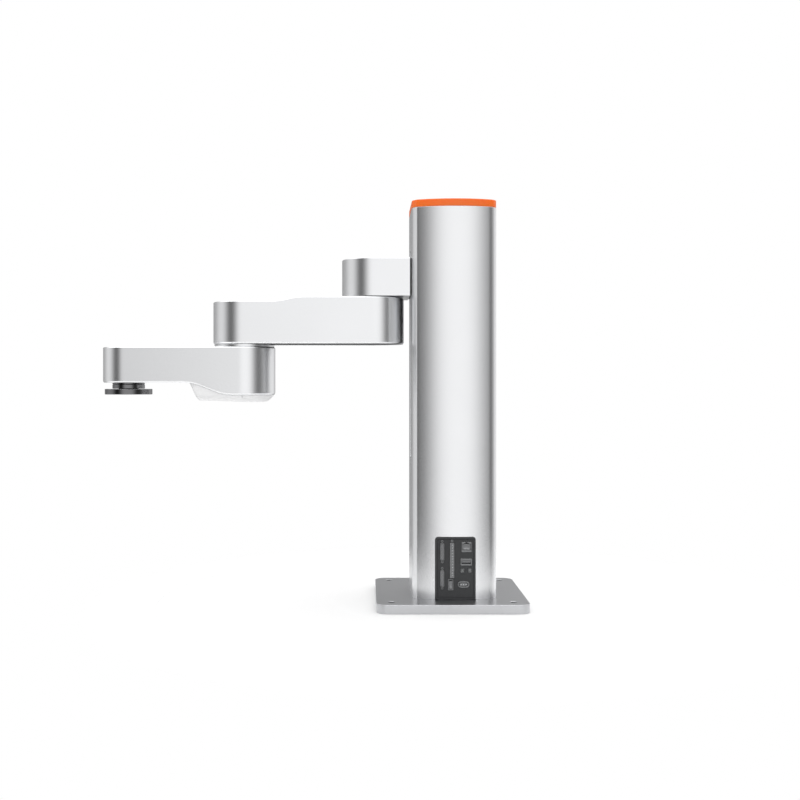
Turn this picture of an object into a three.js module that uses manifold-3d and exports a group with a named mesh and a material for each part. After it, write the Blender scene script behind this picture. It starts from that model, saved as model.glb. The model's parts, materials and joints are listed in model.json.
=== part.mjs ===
// SCARA robot arm: a square foot plate, a tall extruded column with a lift inside it, a carriage bracket,
// an upper arm, a forearm and a turning tool flange. Millimetres, +Z up, origin at the middle of the foot
// plate's underside. The arms lie straight out along -X and the connector panel faces -Y.
import * as THREE from 'three';
import { mergeVertices } from 'three/addons/utils/BufferGeometryUtils.js';
import Module from 'manifold-3d';

const wasm = await Module();
wasm.setup();

// ---- driving dimensions ----
const GAP = 0.3; // clearance between neighbouring pieces
const WALL = 4; // wall of the column and of the arm castings

const PLATE = { size: 200, thick: 12, corner: 14, holePitch: 160, holeR: 4.5 };

const COLUMN = {
  faceX: -52.2, // flat face towards the arms
  backX: 61,
  halfDepth: 66, // at the crown of each bulged side
  sideR: 135,
  faceHalf: 48, // half width of the flat face
  bandX: 6.2, // how far the corner band reaches back from the flat face
  backCorner: 10,
  faceShrink: 0.35, // how much of an inset the flat face's half width loses
  top: 533,
  slotHalf: 16,
  slotLow: 195,
  slotHigh: 480,
};
const RING = { top: 543, width: 6, capDepth: 5 };

const STROKE_TOP = { low: 416.3, high: 467.5 }; // bracket at the top of its stroke
const ARM_R = 42.5; // plan radius of the bracket's end and of both arms at the elbow
const TIP_R = 34.5; // plan radius of the forearm's tip
const SHOULDER_X = -104;
const UPPER_SPAN = 177.5; // shoulder axis to elbow axis
const FORE_SPAN = 160; // elbow axis to tool axis
const UPPER = { low: 352, high: 415.4, elbowHigh: 409.5, stepFrom: -91, stepTo: -139, ceiling: 404 };
const FORE = { high: 347.7, tipLow: 299.3, elbowLow: 282.7, stepFrom: -82, stepTo: -8, ceiling: 342.4 };

const LIFT = { x: 32.2, screwR: 6, nutR: 9, backboneX: 42.3, backboneThick: 8, railY: 28, railHalf: 6 };
const BELT = { thick: 1.5, smallR: 13.5, elbowR: 27, toolR: 20 };
const MOTOR = { half: 21, corner: 5, bossR: 11, bossHeight: 2, shaftR: 2.5 }; // 42 mm square flange
const MOUNT = { half: 26, holeR: 11.5 }; // the plate each arm motor hangs from
const OVER = 5; // how far a cutting tool runs past the surface it opens

// ---- materials ----
const FINISH = {
  aluminium: { color: 0xd6d8da, roughness: 0.34, metalness: 1 },
  plateAluminium: { color: 0xb4b6b8, roughness: 0.3, metalness: 1 },
  orange: { color: 0xeb6928, roughness: 0.35, metalness: 0 },
  black: { color: 0x2c2c2e, roughness: 0.55, metalness: 0 },
  blackMetal: { color: 0x1e1e20, roughness: 0.35, metalness: 0.8 },
  grey: { color: 0x6b6d70, roughness: 0.45, metalness: 0.4 },
  white: { color: 0xf0f0f0, roughness: 0.4, metalness: 0 },
  steel: { color: 0x9a9c9f, roughness: 0.25, metalness: 1 },
  rubber: { color: 0x1a1a1a, roughness: 0.85, metalness: 0 },
  board: { color: 0x1f5a3a, roughness: 0.5, metalness: 0 },
  lens: { color: 0x9aa4a0, roughness: 0.2, metalness: 0 },
};

// ---- shape helpers ----
function toSolid(geometry) {
  const bare = geometry.clone();
  bare.deleteAttribute('normal');
  bare.deleteAttribute('uv');
  const merged = mergeVertices(bare, 1e-4);
  const mesh = new wasm.Mesh({
    numProp: 3,
    vertProperties: new Float32Array(merged.attributes.position.array),
    triVerts: new Uint32Array(merged.index.array),
  });
  return new wasm.Manifold(mesh);
}

function toGeometry(solid) {
  const mesh = solid.getMesh();
  const geometry = new THREE.BufferGeometry();
  geometry.setAttribute('position', new THREE.BufferAttribute(mesh.vertProperties, 3));
  geometry.setIndex(new THREE.BufferAttribute(mesh.triVerts, 1));
  geometry.computeVertexNormals();
  return geometry;
}

function cut(body, ...tools) {
  return toGeometry(tools.reduce((solid, tool) => solid.subtract(toSolid(tool)), toSolid(body)));
}

function join(body, ...others) {
  return toGeometry(others.reduce((solid, other) => solid.add(toSolid(other)), toSolid(body)));
}

function common(body, other) {
  return toGeometry(toSolid(body).intersect(toSolid(other)));
}

// A flat outline in X and Y raised from z0 to z1.
function prism(shape, z0, z1, curveSegments = 9) {
  const options = { depth: z1 - z0, bevelEnabled: false, curveSegments };
  return new THREE.ExtrudeGeometry(shape, options).translate(0, 0, z0);
}

// An outline drawn in X and Z, carried along Y from y0 to y1.
function sidePrism(shape, y0, y1, curveSegments = 8) {
  const options = { depth: y1 - y0, bevelEnabled: false, curveSegments };
  return new THREE.ExtrudeGeometry(shape, options).rotateX(Math.PI / 2).translate(0, y1, 0);
}

// An outline drawn in Y and Z, carried along X from x0 to x1.
function endPrism(shape, x0, x1) {
  const geometry = new THREE.ExtrudeGeometry(shape, { depth: x1 - x0, bevelEnabled: false });
  return geometry.rotateX(Math.PI / 2).rotateZ(Math.PI / 2).translate(x0, 0, 0);
}

function block([x0, x1], [y0, y1], [z0, z1]) {
  const geometry = new THREE.BoxGeometry(x1 - x0, y1 - y0, z1 - z0);
  return geometry.translate((x0 + x1) / 2, (y0 + y1) / 2, (z0 + z1) / 2);
}

function disc(radius, z0, z1, x = 0, segments = 28) {
  const geometry = new THREE.CylinderGeometry(radius, radius, z1 - z0, segments);
  return geometry.rotateX(Math.PI / 2).translate(x, 0, (z0 + z1) / 2);
}

// A ring or a stepped shaft: the outline runs through [radius, z] pairs.
function turned(profile, x = 0, segments = 28) {
  const points = profile.map(([radius, z]) => new THREE.Vector2(radius, z));
  return new THREE.LatheGeometry(points, segments).rotateX(Math.PI / 2).translate(x, 0, 0);
}

function ring(innerR, outerR, z0, z1, x = 0, segments = 28) {
  const outline = [[innerR, z0], [outerR, z0], [outerR, z1], [innerR, z1], [innerR, z0]];
  return turned(outline, x, segments);
}

function roundedRect(x0, x1, y0, y1, radius) {
  const shape = new THREE.Shape();
  shape.absarc(x1 - radius, y1 - radius, radius, 0, Math.PI / 2, false);
  shape.absarc(x0 + radius, y1 - radius, radius, Math.PI / 2, Math.PI, false);
  shape.absarc(x0 + radius, y0 + radius, radius, Math.PI, 1.5 * Math.PI, false);
  shape.absarc(x1 - radius, y0 + radius, radius, 1.5 * Math.PI, 2 * Math.PI, false);
  return shape;
}

function circlePath(x, y, radius) {
  return new THREE.Path().absarc(x, y, radius, 0, 2 * Math.PI, false);
}

// Two round ends, nearR at x = 0 and farR at x = -span, joined by their outer tangents.
function armShape(nearR, farR, span) {
  const tangent = Math.acos((farR - nearR) / span);
  const shape = new THREE.Shape();
  shape.absarc(0, 0, nearR, -tangent, tangent, false);
  shape.absarc(-span, 0, farR, tangent, 2 * Math.PI - tangent, false);
  return shape;
}

// The bracket's outline: a round end about x = 0 and square sides running to x = length.
function bracketShape(radius, length) {
  const shape = new THREE.Shape();
  shape.moveTo(length, -radius);
  shape.lineTo(length, radius);
  shape.absarc(0, 0, radius, Math.PI / 2, 1.5 * Math.PI, false);
  return shape;
}

// The column's outline, drawn inwards by inset: flat arm-side face, two corner bands, bulged sides,
// a flat back and rounded back corners.
function columnShape(inset = 0) {
  const c = COLUMN;
  const face = c.faceX + inset;
  const back = c.backX - inset;
  const middle = (c.faceX + c.backX) / 2;
  const radius = c.sideR - inset;
  const centreY = c.sideR - c.halfDepth;
  const corner = c.backCorner - inset / 2;
  const bandEnd = face + c.bandX;
  const sideY = (x) => centreY - Math.sqrt(radius ** 2 - (x - middle) ** 2);
  const angleAt = (x) => Math.atan2(sideY(x) - centreY, x - middle);
  const faceHalf = c.faceHalf - inset * c.faceShrink;
  const shape = new THREE.Shape();
  shape.moveTo(face, faceHalf);
  shape.lineTo(face, -faceHalf);
  shape.absarc(middle, centreY, radius, angleAt(bandEnd), angleAt(back - corner), false);
  shape.quadraticCurveTo(back, sideY(back), back, sideY(back) + corner);
  shape.lineTo(back, -sideY(back) - corner);
  shape.quadraticCurveTo(back, -sideY(back), back - corner, -sideY(back - corner));
  shape.absarc(middle, -centreY, radius, -angleAt(back - corner), -angleAt(bandEnd), false);
  return shape;
}

// ---- scene graph ----
const robot = new THREE.Group();
const carriage = new THREE.Group();
const upperArm = new THREE.Group();
const forearm = new THREE.Group();
const tool = new THREE.Group();
carriage.position.x = SHOULDER_X;
forearm.position.x = -UPPER_SPAN;
tool.position.x = -FORE_SPAN;
robot.add(carriage);
carriage.add(upperArm);
upperArm.add(forearm);
forearm.add(tool);

function place(group, name, geometry, finish) {
  const mesh = new THREE.Mesh(geometry, new THREE.MeshStandardMaterial(FINISH[finish]));
  mesh.name = name;
  group.add(mesh);
  return mesh;
}

// ---- foot plate and column ----
function basePlate() {
  const half = PLATE.size / 2;
  const shape = roundedRect(-half, half, -half, half, PLATE.corner);
  const pitch = PLATE.holePitch / 2;
  for (const x of [-pitch, pitch]) {
    for (const y of [-pitch, pitch]) shape.holes.push(circlePath(x, y, PLATE.holeR));
  }
  return prism(shape, 0, PLATE.thick, 6);
}

// The panel's face stands in the column's window; a wider flange behind it seats on the inside of the wall.
const PANEL = { x0: -22, x1: 31.5, face: -66, seat: -58, back: -55.7, top: 95, corner: 4, flange: 5 };

function columnTube() {
  const shape = columnShape();
  shape.holes.push(columnShape(WALL));
  const tube = prism(shape, PLATE.thick + GAP, COLUMN.top, 7);
  const { faceX, slotHalf, slotLow, slotHigh } = COLUMN;
  const slot = block([faceX - OVER, faceX + WALL + OVER], [-slotHalf, slotHalf], [slotLow, slotHigh]);
  const { x0, x1, face, back, top, corner } = PANEL;
  const opening = roundedRect(x0 - GAP, x1 + GAP, -corner, top + GAP, corner + GAP);
  return cut(tube, slot, sidePrism(opening, face - OVER, back + OVER, 3));
}

function lightRing() {
  const shape = columnShape();
  shape.holes.push(columnShape(RING.width));
  return prism(shape, COLUMN.top + GAP, RING.top, 7);
}

function topCap() {
  const capInset = RING.width + GAP;
  return prism(columnShape(capInset), COLUMN.top - RING.capDepth, RING.top - GAP, 7);
}

// One of the two brush strips that close the slot on either side of the moving neck.
const NECK = { halfY: 10, low: 424, high: 461 };
const SEAL = { thick: 3, clearance: 0.4, overlap: 5, endOverlap: 6 };
function slotSeal(side) {
  const innerX = COLUMN.faceX + WALL + GAP;
  const near = side * (NECK.halfY + SEAL.clearance);
  const far = side * (COLUMN.slotHalf + SEAL.overlap);
  const ySpan = [Math.min(near, far), Math.max(near, far)];
  const zSpan = [COLUMN.slotLow - SEAL.endOverlap, COLUMN.slotHigh + SEAL.endOverlap];
  return block([innerX, innerX + SEAL.thick], ySpan, zSpan);
}

place(robot, 'base_plate', basePlate(), 'plateAluminium');
place(robot, 'column_extrusion', columnTube(), 'aluminium');
place(robot, 'light_ring', lightRing(), 'orange');
place(robot, 'top_cap', topCap(), 'aluminium');
place(robot, 'slot_seal_left', slotSeal(-1), 'white');
place(robot, 'slot_seal_right', slotSeal(1), 'white');

// ---- connector panel ----
// Each fitting's centre and size on the panel, in X and Z.
const FITTINGS = {
  signal_port_upper: { x: -12.9, z: 75.7, w: 5.4, h: 22.4, corner: 1.2, proud: 2.2 },
  signal_port_lower: { x: -12.9, z: 40.6, w: 5.4, h: 21.4, corner: 1.2, proud: 2.2 },
  terminal_port: { x: 0.2, z: 64.2, w: 5.7, h: 46.4, corner: 0.8, proud: 1.2 },
  ethernet_port: { x: 19.4, z: 81.9, w: 13, h: 13.4, corner: 0.8, proud: 0.4, bore: [11, 8.6, 12] },
  usb_port: { x: 19, z: 62, w: 14.8, h: 9.2, corner: 0.8, proud: 0.4, bore: [12.4, 4.8, 11] },
  power_inlet: { x: 15.4, z: 32.3, w: 15.2, h: 8.1, corner: 4, proud: 0.8, bore: [12.4, 5.4, 9] },
  status_light_left: { x: 13.9, z: 50.7, w: 4.6, h: 5, corner: 0.6, proud: 0.2 },
  status_light_right: { x: 23.7, z: 50.7, w: 4, h: 5, corner: 0.6, proud: 0.2 },
  switch_frame: { x: -1.7, z: 32, w: 7, h: 14.4, corner: 0.8, proud: 0.6 },
};
const FITTING_BACK = -51;
const MOUTH_CORNER = 2.6; // the roundest corner that a fitting's mouth may have

function fittingOutline(fitting, grow = 0) {
  const halfW = fitting.w / 2 + grow;
  const halfH = fitting.h / 2 + grow;
  const { x, z } = fitting;
  return roundedRect(x - halfW, x + halfW, z - halfH, z + halfH, fitting.corner + grow);
}

function ioPanel() {
  const { x0, x1, face, seat, back, top, corner, flange } = PANEL;
  const low = PLATE.thick + 2 * GAP;
  const plate = sidePrism(roundedRect(x0, x1, low, top, corner), face, seat + GAP, 3);
  const lip = sidePrism(roundedRect(x0 - flange, x1 + flange, low, top + flange, corner), seat, back, 2);
  const wells = Object.values(FITTINGS).map((fitting) => (
    sidePrism(fittingOutline(fitting, GAP), face - OVER, back + OVER, 2)
  ));
  return cut(join(plate, lip), ...wells);
}

function fittingBody(fitting) {
  const front = PANEL.face - fitting.proud;
  const segments = fitting.corner > 2 ? 5 : 2;
  const body = sidePrism(fittingOutline(fitting), front, FITTING_BACK, segments);
  if (!fitting.bore) return body;
  const [boreW, boreH, depth] = fitting.bore;
  const corner = Math.min(fitting.corner, MOUTH_CORNER);
  const mouth = fittingOutline({ ...fitting, w: boreW, h: boreH, corner });
  return cut(body, sidePrism(mouth, front - 1, front + depth, segments));
}

// The switch's bezel is open right through, so that the rocker can tip inside it.
function switchFrame() {
  const fitting = FITTINGS.switch_frame;
  const hole = fittingOutline({ ...fitting, ...ROCKER.hole });
  return cut(fittingBody(fitting), sidePrism(hole, PANEL.face - OVER, FITTING_BACK + OVER, 2));
}

// The rocker's two pressed faces meet in a shallow valley at the pivot's height; its back tapers inwards.
const ROCKER = {
  halfW: 2.2,
  halfH: 5.4,
  crest: -3.2,
  valley: -2.1,
  shoulder: -1.6,
  backY: 1.6,
  backHalf: 3,
  pivotY: -63.4,
  tilt: THREE.MathUtils.degToRad(8),
  hole: { w: 5, h: 12.6, corner: 0.4 },
};
function powerRocker() {
  const { halfW, halfH, crest, valley, shoulder, backY, backHalf } = ROCKER;
  const shape = new THREE.Shape();
  shape.moveTo(crest, -halfH);
  shape.lineTo(valley, 0);
  shape.lineTo(crest, halfH);
  shape.lineTo(shoulder, halfH);
  shape.lineTo(backY, backHalf);
  shape.lineTo(backY, -backHalf);
  shape.lineTo(shoulder, -halfH);
  return endPrism(shape, -halfW, halfW);
}

const FITTING_FINISH = { power_inlet: 'black', switch_frame: 'black' };
place(robot, 'io_panel', ioPanel(), 'black');
for (const [name, fitting] of Object.entries(FITTINGS)) {
  const geometry = name === 'switch_frame' ? switchFrame() : fittingBody(fitting);
  const isLight = name.startsWith('status');
  place(robot, name, geometry, isLight ? 'lens' : FITTING_FINISH[name] || 'grey');
}
const rocker = place(robot, 'power_rocker', powerRocker(), 'black');
rocker.position.set(FITTINGS.switch_frame.x, ROCKER.pivotY, FITTINGS.switch_frame.z);
rocker.rotation.x = ROCKER.tilt;

// ---- lift inside the column ----
const BACKBONE = { halfY: 38, top: 498 };
const RAIL = { thick: 8, low: 60, high: 480 };
const GUIDE = { halfY: 15, low: 418, high: 462, thick: 15, offRail: 4 };
const CARRIAGE = { thick: 9.7, halfY: 44, margin: 4 };
const SCREW = { low: 52, high: 478, endR: 4, endTop: 486 };
const BEARING = { frontX: 20, halfY: 12, bottom: [52, 60], top: [470, 477] };
const COUPLING = { r: 9, low: 479.3, high: 497 };
const MOTOR_PLATE = { frontX: 10, halfY: 24, low: 498.3, high: 502.3 };
const LIFT_MOTOR = { top: 526.5, shaft: 12.5 };
const BOARD = { x: [-25, 35], y: [-48.5, -46.9], z: [16, 140] };

const backboneX = [LIFT.backboneX, LIFT.backboneX + LIFT.backboneThick];
const railX = [LIFT.backboneX - GAP - RAIL.thick, LIFT.backboneX - GAP];
const guideX = [railX[1] - GUIDE.offRail - GUIDE.thick, railX[1] - GUIDE.offRail];
const carriagePlateX = [guideX[0] - GAP - CARRIAGE.thick, guideX[0] - GAP];

function zBackbone() {
  return block(backboneX, [-BACKBONE.halfY, BACKBONE.halfY], [PLATE.thick + GAP, BACKBONE.top]);
}

function linearRail(side) {
  const ySpan = [side * LIFT.railY - LIFT.railHalf, side * LIFT.railY + LIFT.railHalf];
  return block(railX, ySpan, [RAIL.low, RAIL.high]);
}

// A bearing block on the backbone with the screw's running hole through it.
function screwBearing([z0, z1]) {
  const { frontX, halfY } = BEARING;
  const body = block([frontX, LIFT.backboneX - GAP], [-halfY, halfY], [z0, z1]);
  return cut(body, disc(LIFT.screwR + GAP, z0 - OVER, z1 + OVER, LIFT.x, 20));
}

function motorMount() {
  const { frontX, halfY, low, high } = MOTOR_PLATE;
  const body = block([frontX, backboneX[1]], [-halfY, halfY], [low, high]);
  return cut(body, disc(MOUNT.holeR, low - OVER, high + OVER, LIFT.x, 24));
}

// A square motor with its round boss and shaft; side is +1 with the shaft up, -1 with the shaft down.
function squareMotor(x, z0, z1, side, shaftLength) {
  const span = (length) => (side > 0 ? [z1 - 1, z1 + length] : [z0 - length, z0 + 1]);
  const { half, corner, bossR, bossHeight, shaftR } = MOTOR;
  const body = prism(roundedRect(x - half, x + half, -half, half, corner), z0, z1, 2);
  return join(body, disc(bossR, ...span(bossHeight), x, 20), disc(shaftR, ...span(shaftLength), x, 14));
}

function ballScrew() {
  const { screwR, x } = LIFT;
  const { low, high, endR, endTop } = SCREW;
  return turned([[0, low], [screwR, low], [screwR, high], [endR, high], [endR, endTop], [0, endTop]], x, 20);
}

place(robot, 'z_backbone', zBackbone(), 'aluminium');
place(robot, 'linear_rail_left', linearRail(-1), 'steel');
place(robot, 'linear_rail_right', linearRail(1), 'steel');
place(robot, 'screw_bearing_bottom', screwBearing(BEARING.bottom), 'steel');
place(robot, 'screw_bearing_top', screwBearing(BEARING.top), 'steel');
place(robot, 'motor_mount', motorMount(), 'aluminium');
const liftMotor = squareMotor(LIFT.x, MOTOR_PLATE.high + GAP, LIFT_MOTOR.top, -1, LIFT_MOTOR.shaft);
place(robot, 'z_motor', liftMotor, 'black');
place(robot, 'controller_board', block(BOARD.x, BOARD.y, BOARD.z), 'board');
place(robot, 'ball_screw', ballScrew(), 'steel');
const coupling = ring(SCREW.endR + GAP, COUPLING.r, COUPLING.low, COUPLING.high, LIFT.x, 20);
place(robot, 'shaft_coupling', coupling, 'aluminium');

// ---- carriage: everything that the lift carries up and down ----
// The carriage group's own X is measured from the shoulder axis.
const fromShoulder = (span) => span.map((x) => x - SHOULDER_X);
const SEAL_PLATE = { from: -54.5, to: COLUMN.faceX - GAP, low: 417.8, high: 467 };
const BRACKET_END = SEAL_PLATE.from - GAP;
const NUT = { low: 428, high: 454 };

function carriagePlate() {
  const { halfY, margin } = CARRIAGE;
  const zSpan = [GUIDE.low - margin, GUIDE.high + margin];
  return block(fromShoulder(carriagePlateX), [-halfY, halfY], zSpan);
}

// A guide block wraps its rail from the front, with a channel for the rail along its back.
function guideBlock(side) {
  const middle = side * LIFT.railY;
  const channel = LIFT.railHalf + GAP;
  const [front, back] = fromShoulder(guideX);
  const channelX = railX[0] - GAP - SHOULDER_X;
  const shape = new THREE.Shape();
  shape.moveTo(front, middle - GUIDE.halfY);
  shape.lineTo(front, middle + GUIDE.halfY);
  shape.lineTo(back, middle + GUIDE.halfY);
  shape.lineTo(back, middle + channel);
  shape.lineTo(channelX, middle + channel);
  shape.lineTo(channelX, middle - channel);
  shape.lineTo(back, middle - channel);
  shape.lineTo(back, middle - GUIDE.halfY);
  return prism(shape, GUIDE.low, GUIDE.high);
}

function carriageNeck() {
  const x = fromShoulder([SEAL_PLATE.from, carriagePlateX[0] - GAP]);
  return block(x, [-NECK.halfY, NECK.halfY], [NECK.low, NECK.high]);
}

function sealPlate() {
  const x = fromShoulder([SEAL_PLATE.from, SEAL_PLATE.to]);
  const body = block(x, [-ARM_R, ARM_R], [SEAL_PLATE.low, SEAL_PLATE.high]);
  const neckY = NECK.halfY + GAP;
  return cut(body, block([x[0] - OVER, x[1] + OVER], [-neckY, neckY], [NECK.low - GAP, NECK.high + GAP]));
}

const HUB_R = 26;
const BRACKET = { floor: 4, endWall: 7.3, lidThick: 3.3, lidSunk: 0.2 };
const bracketLength = BRACKET_END - SHOULDER_X;
const reducerLow = STROKE_TOP.low + BRACKET.floor + GAP;
const SHOULDER_DRIVE = { reducerR: 33, reducerHigh: 439, motorR: 29, motorHigh: 462 };

function shoulderBracket() {
  const { low, high } = STROKE_TOP;
  const inner = bracketShape(ARM_R - WALL, bracketLength - BRACKET.endWall);
  const pocket = prism(inner, low + BRACKET.floor, high + OVER, 10);
  const body = prism(bracketShape(ARM_R, bracketLength), low, high, 10);
  return cut(body, pocket, disc(HUB_R + 1, low - OVER, low + BRACKET.floor + OVER));
}

function bracketLid() {
  const shape = bracketShape(ARM_R - WALL - GAP, bracketLength - BRACKET.endWall - GAP);
  const top = STROKE_TOP.high - BRACKET.lidSunk;
  return prism(shape, top - BRACKET.lidThick, top, 10);
}

place(carriage, 'carriage_plate', carriagePlate(), 'aluminium');
place(carriage, 'carriage_neck', carriageNeck(), 'aluminium');
place(carriage, 'guide_block_left', guideBlock(-1), 'steel');
place(carriage, 'guide_block_right', guideBlock(1), 'steel');
const ballNut = ring(LIFT.screwR + GAP, LIFT.nutR, NUT.low, NUT.high, LIFT.x - SHOULDER_X, 20);
place(carriage, 'ball_nut', ballNut, 'steel');
place(carriage, 'seal_plate', sealPlate(), 'black');
place(carriage, 'shoulder_bracket', shoulderBracket(), 'aluminium');
place(carriage, 'bracket_lid', bracketLid(), 'aluminium');
const { reducerR, reducerHigh, motorR, motorHigh } = SHOULDER_DRIVE;
place(carriage, 'shoulder_reducer', disc(reducerR, reducerLow, reducerHigh), 'steel');
place(carriage, 'shoulder_motor', disc(motorR, reducerHigh + GAP, motorHigh), 'black');

// ---- upper arm, measured from the shoulder axis ----
const ELBOW_MOTOR = { x: -86, low: 357, high: 384, shaft: 15.5, plateHigh: 388 };
const PULLEY = { low: 389, high: 400 };
const COVER = { low: UPPER.low + 0.4, high: UPPER.low + 3.4 };
const ELBOW_BEARING = { r: 34, low: 357, high: 373 };

// The arm's side view: full height by the shoulder, a smooth step down to the elbow end.
function upperArmSide() {
  const { low, high, elbowHigh, stepFrom, stepTo } = UPPER;
  const middle = (stepFrom + stepTo) / 2;
  const shape = new THREE.Shape();
  shape.moveTo(ARM_R + OVER, low);
  shape.lineTo(ARM_R + OVER, high);
  shape.lineTo(stepFrom, high);
  shape.bezierCurveTo(middle, high, middle, elbowHigh, stepTo, elbowHigh);
  shape.lineTo(-UPPER_SPAN - ARM_R - OVER, elbowHigh);
  shape.lineTo(-UPPER_SPAN - ARM_R - OVER, low);
  return shape;
}

function upperArmShell() {
  const outer = prism(armShape(ARM_R, ARM_R, UPPER_SPAN), UPPER.low, UPPER.high + OVER, 10);
  const inner = prism(armShape(ARM_R - WALL, ARM_R - WALL, UPPER_SPAN), UPPER.low - OVER, UPPER.ceiling, 10);
  return cut(common(outer, sidePrism(upperArmSide(), -ARM_R - OVER, ARM_R + OVER)), inner);
}

// The shaft stands on a wide flange that fills the gap between the two arms.
const ELBOW_SHAFT = {
  flangeR: 41,
  r: 22,
  low: FORE.high + GAP,
  shoulder: UPPER.low - 2 * GAP,
  high: PULLEY.low - GAP,
};
function upperArmCover() {
  const radius = ARM_R - WALL - GAP;
  const plate = prism(armShape(radius, radius, UPPER_SPAN), COVER.low, COVER.high, 10);
  return cut(plate, disc(ELBOW_SHAFT.r + 1, COVER.low - OVER, COVER.high + OVER, -UPPER_SPAN));
}

// The plate across an arm that its motor hangs from, with a hole for the motor's boss.
function motorPlate(x, halfY, z0, z1) {
  const body = block([x - MOUNT.half, x + MOUNT.half], [-halfY, halfY], [z0, z1]);
  return cut(body, disc(MOUNT.holeR, z0 - OVER, z1 + OVER, x, 20));
}

// A closed belt round two pulleys: nearR at x = 0 and farR at x = -span.
function beltLoop(nearR, farR, span, z0, z1) {
  const outer = armShape(nearR + GAP + BELT.thick, farR + GAP + BELT.thick, span);
  outer.holes.push(armShape(nearR + GAP, farR + GAP, span));
  return prism(outer, z0, z1, 8);
}

const elbowMotorTop = ELBOW_MOTOR.high + GAP;
const elbowMotor = squareMotor(ELBOW_MOTOR.x, ELBOW_MOTOR.low, ELBOW_MOTOR.high, 1, ELBOW_MOTOR.shaft);
const elbowPlate = motorPlate(ELBOW_MOTOR.x, ARM_R - WALL - GAP, elbowMotorTop, ELBOW_MOTOR.plateHigh);
const bearingBore = ELBOW_SHAFT.r + GAP;
const elbowBearing = ring(bearingBore, ELBOW_BEARING.r, ELBOW_BEARING.low, ELBOW_BEARING.high, -UPPER_SPAN);
const elbowBeltSpan = UPPER_SPAN + ELBOW_MOTOR.x;
place(upperArm, 'upper_arm_shell', upperArmShell(), 'aluminium');
place(upperArm, 'upper_arm_cover', upperArmCover(), 'black');
const shoulderHub = disc(HUB_R, UPPER.high + GAP, STROKE_TOP.low + BRACKET.floor);
place(upperArm, 'shoulder_hub', shoulderHub, 'blackMetal');
place(upperArm, 'elbow_motor', elbowMotor, 'black');
place(upperArm, 'elbow_motor_mount', elbowPlate, 'aluminium');
place(upperArm, 'elbow_bearing', elbowBearing, 'steel');
const elbowBelt = beltLoop(BELT.smallR, BELT.elbowR, elbowBeltSpan, PULLEY.low + 1, PULLEY.high - 1);
place(upperArm, 'elbow_belt', elbowBelt, 'rubber').position.x = ELBOW_MOTOR.x;
const elbowMotorPulley = ring(MOTOR.shaftR + GAP, BELT.smallR, PULLEY.low, PULLEY.high, 0, 24);
place(upperArm, 'elbow_motor_pulley', elbowMotorPulley, 'aluminium').position.x = ELBOW_MOTOR.x;

// ---- forearm, measured from the elbow axis ----
const TOOL_MOTOR = { x: -18, low: 279, high: 317, shaft: 17, plateHalf: 35, plateHigh: 321.3 };
const TOOL_PULLEY = { low: 323, high: 335 };

// The forearm's side view, moved up by lift: a flat top, and a lower edge that steps down smoothly from
// the tip half to the elbow.
function forearmSide(lift) {
  const { tipLow, elbowLow, stepFrom, stepTo, high } = FORE;
  const tipEnd = -FORE_SPAN - TIP_R - OVER;
  const middle = (stepFrom + stepTo) / 2;
  const shape = new THREE.Shape();
  shape.moveTo(tipEnd, tipLow + lift);
  shape.lineTo(tipEnd, high + OVER);
  shape.lineTo(ARM_R + OVER, high + OVER);
  shape.lineTo(ARM_R + OVER, elbowLow + lift);
  shape.lineTo(stepTo, elbowLow + lift);
  shape.bezierCurveTo(middle, elbowLow + lift, middle, tipLow + lift, stepFrom, tipLow + lift);
  return shape;
}

function forearmShell() {
  const outer = prism(armShape(ARM_R, TIP_R, FORE_SPAN), FORE.elbowLow - OVER, FORE.high, 10);
  const pocketLow = FORE.elbowLow - 2 * OVER;
  const inner = prism(armShape(ARM_R - WALL, TIP_R - WALL, FORE_SPAN), pocketLow, FORE.ceiling, 10);
  return cut(common(outer, sidePrism(forearmSide(0), -ARM_R - OVER, ARM_R + OVER)), inner);
}

// The moulded belly under the elbow half: a sloping nose, a rounded bottom and a rising heel. Its [x, z]
// points are those of its side view; each curve has a control point and then its end.
const BELLY = {
  skin: 2.6,
  inset: 2,
  top: 305,
  low: 273,
  nose: [-71, 296],
  noseFoot: [-60, 280.3],
  noseCurve: [[-56, 276], [-48, 275]],
  flatFrom: -8,
  heelFrom: 30,
  heelCurve: [[40, 274.5], [44, 280.5]],
  roomFrom: -60.5,
};
function bellySide() {
  const { low, top, nose, noseFoot, noseCurve, flatFrom, heelFrom, heelCurve } = BELLY;
  const shape = new THREE.Shape();
  shape.moveTo(nose[0], top);
  shape.lineTo(...nose);
  shape.lineTo(...noseFoot);
  shape.quadraticCurveTo(...noseCurve.flat());
  shape.lineTo(flatFrom, low);
  shape.lineTo(heelFrom, low);
  shape.quadraticCurveTo(...heelCurve.flat());
  shape.lineTo(heelCurve[1][0], top);
  return shape;
}

function forearmBelly() {
  const { low, skin, inset, top, roomFrom } = BELLY;
  const nearR = ARM_R - inset;
  const farR = TIP_R - inset;
  const halfY = ARM_R + OVER;
  const outline = prism(armShape(nearR, farR, FORE_SPAN), low - OVER, top, 10);
  const body = common(outline, sidePrism(bellySide(), -halfY, halfY));
  const hollow = prism(armShape(nearR - skin, farR - skin, FORE_SPAN), low + skin, top + OVER, 10);
  const room = block([roomFrom, halfY], [-halfY, halfY], [low - OVER, top + OVER]);
  return cut(body, common(hollow, room), sidePrism(forearmSide(-GAP), -halfY, halfY));
}

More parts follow.
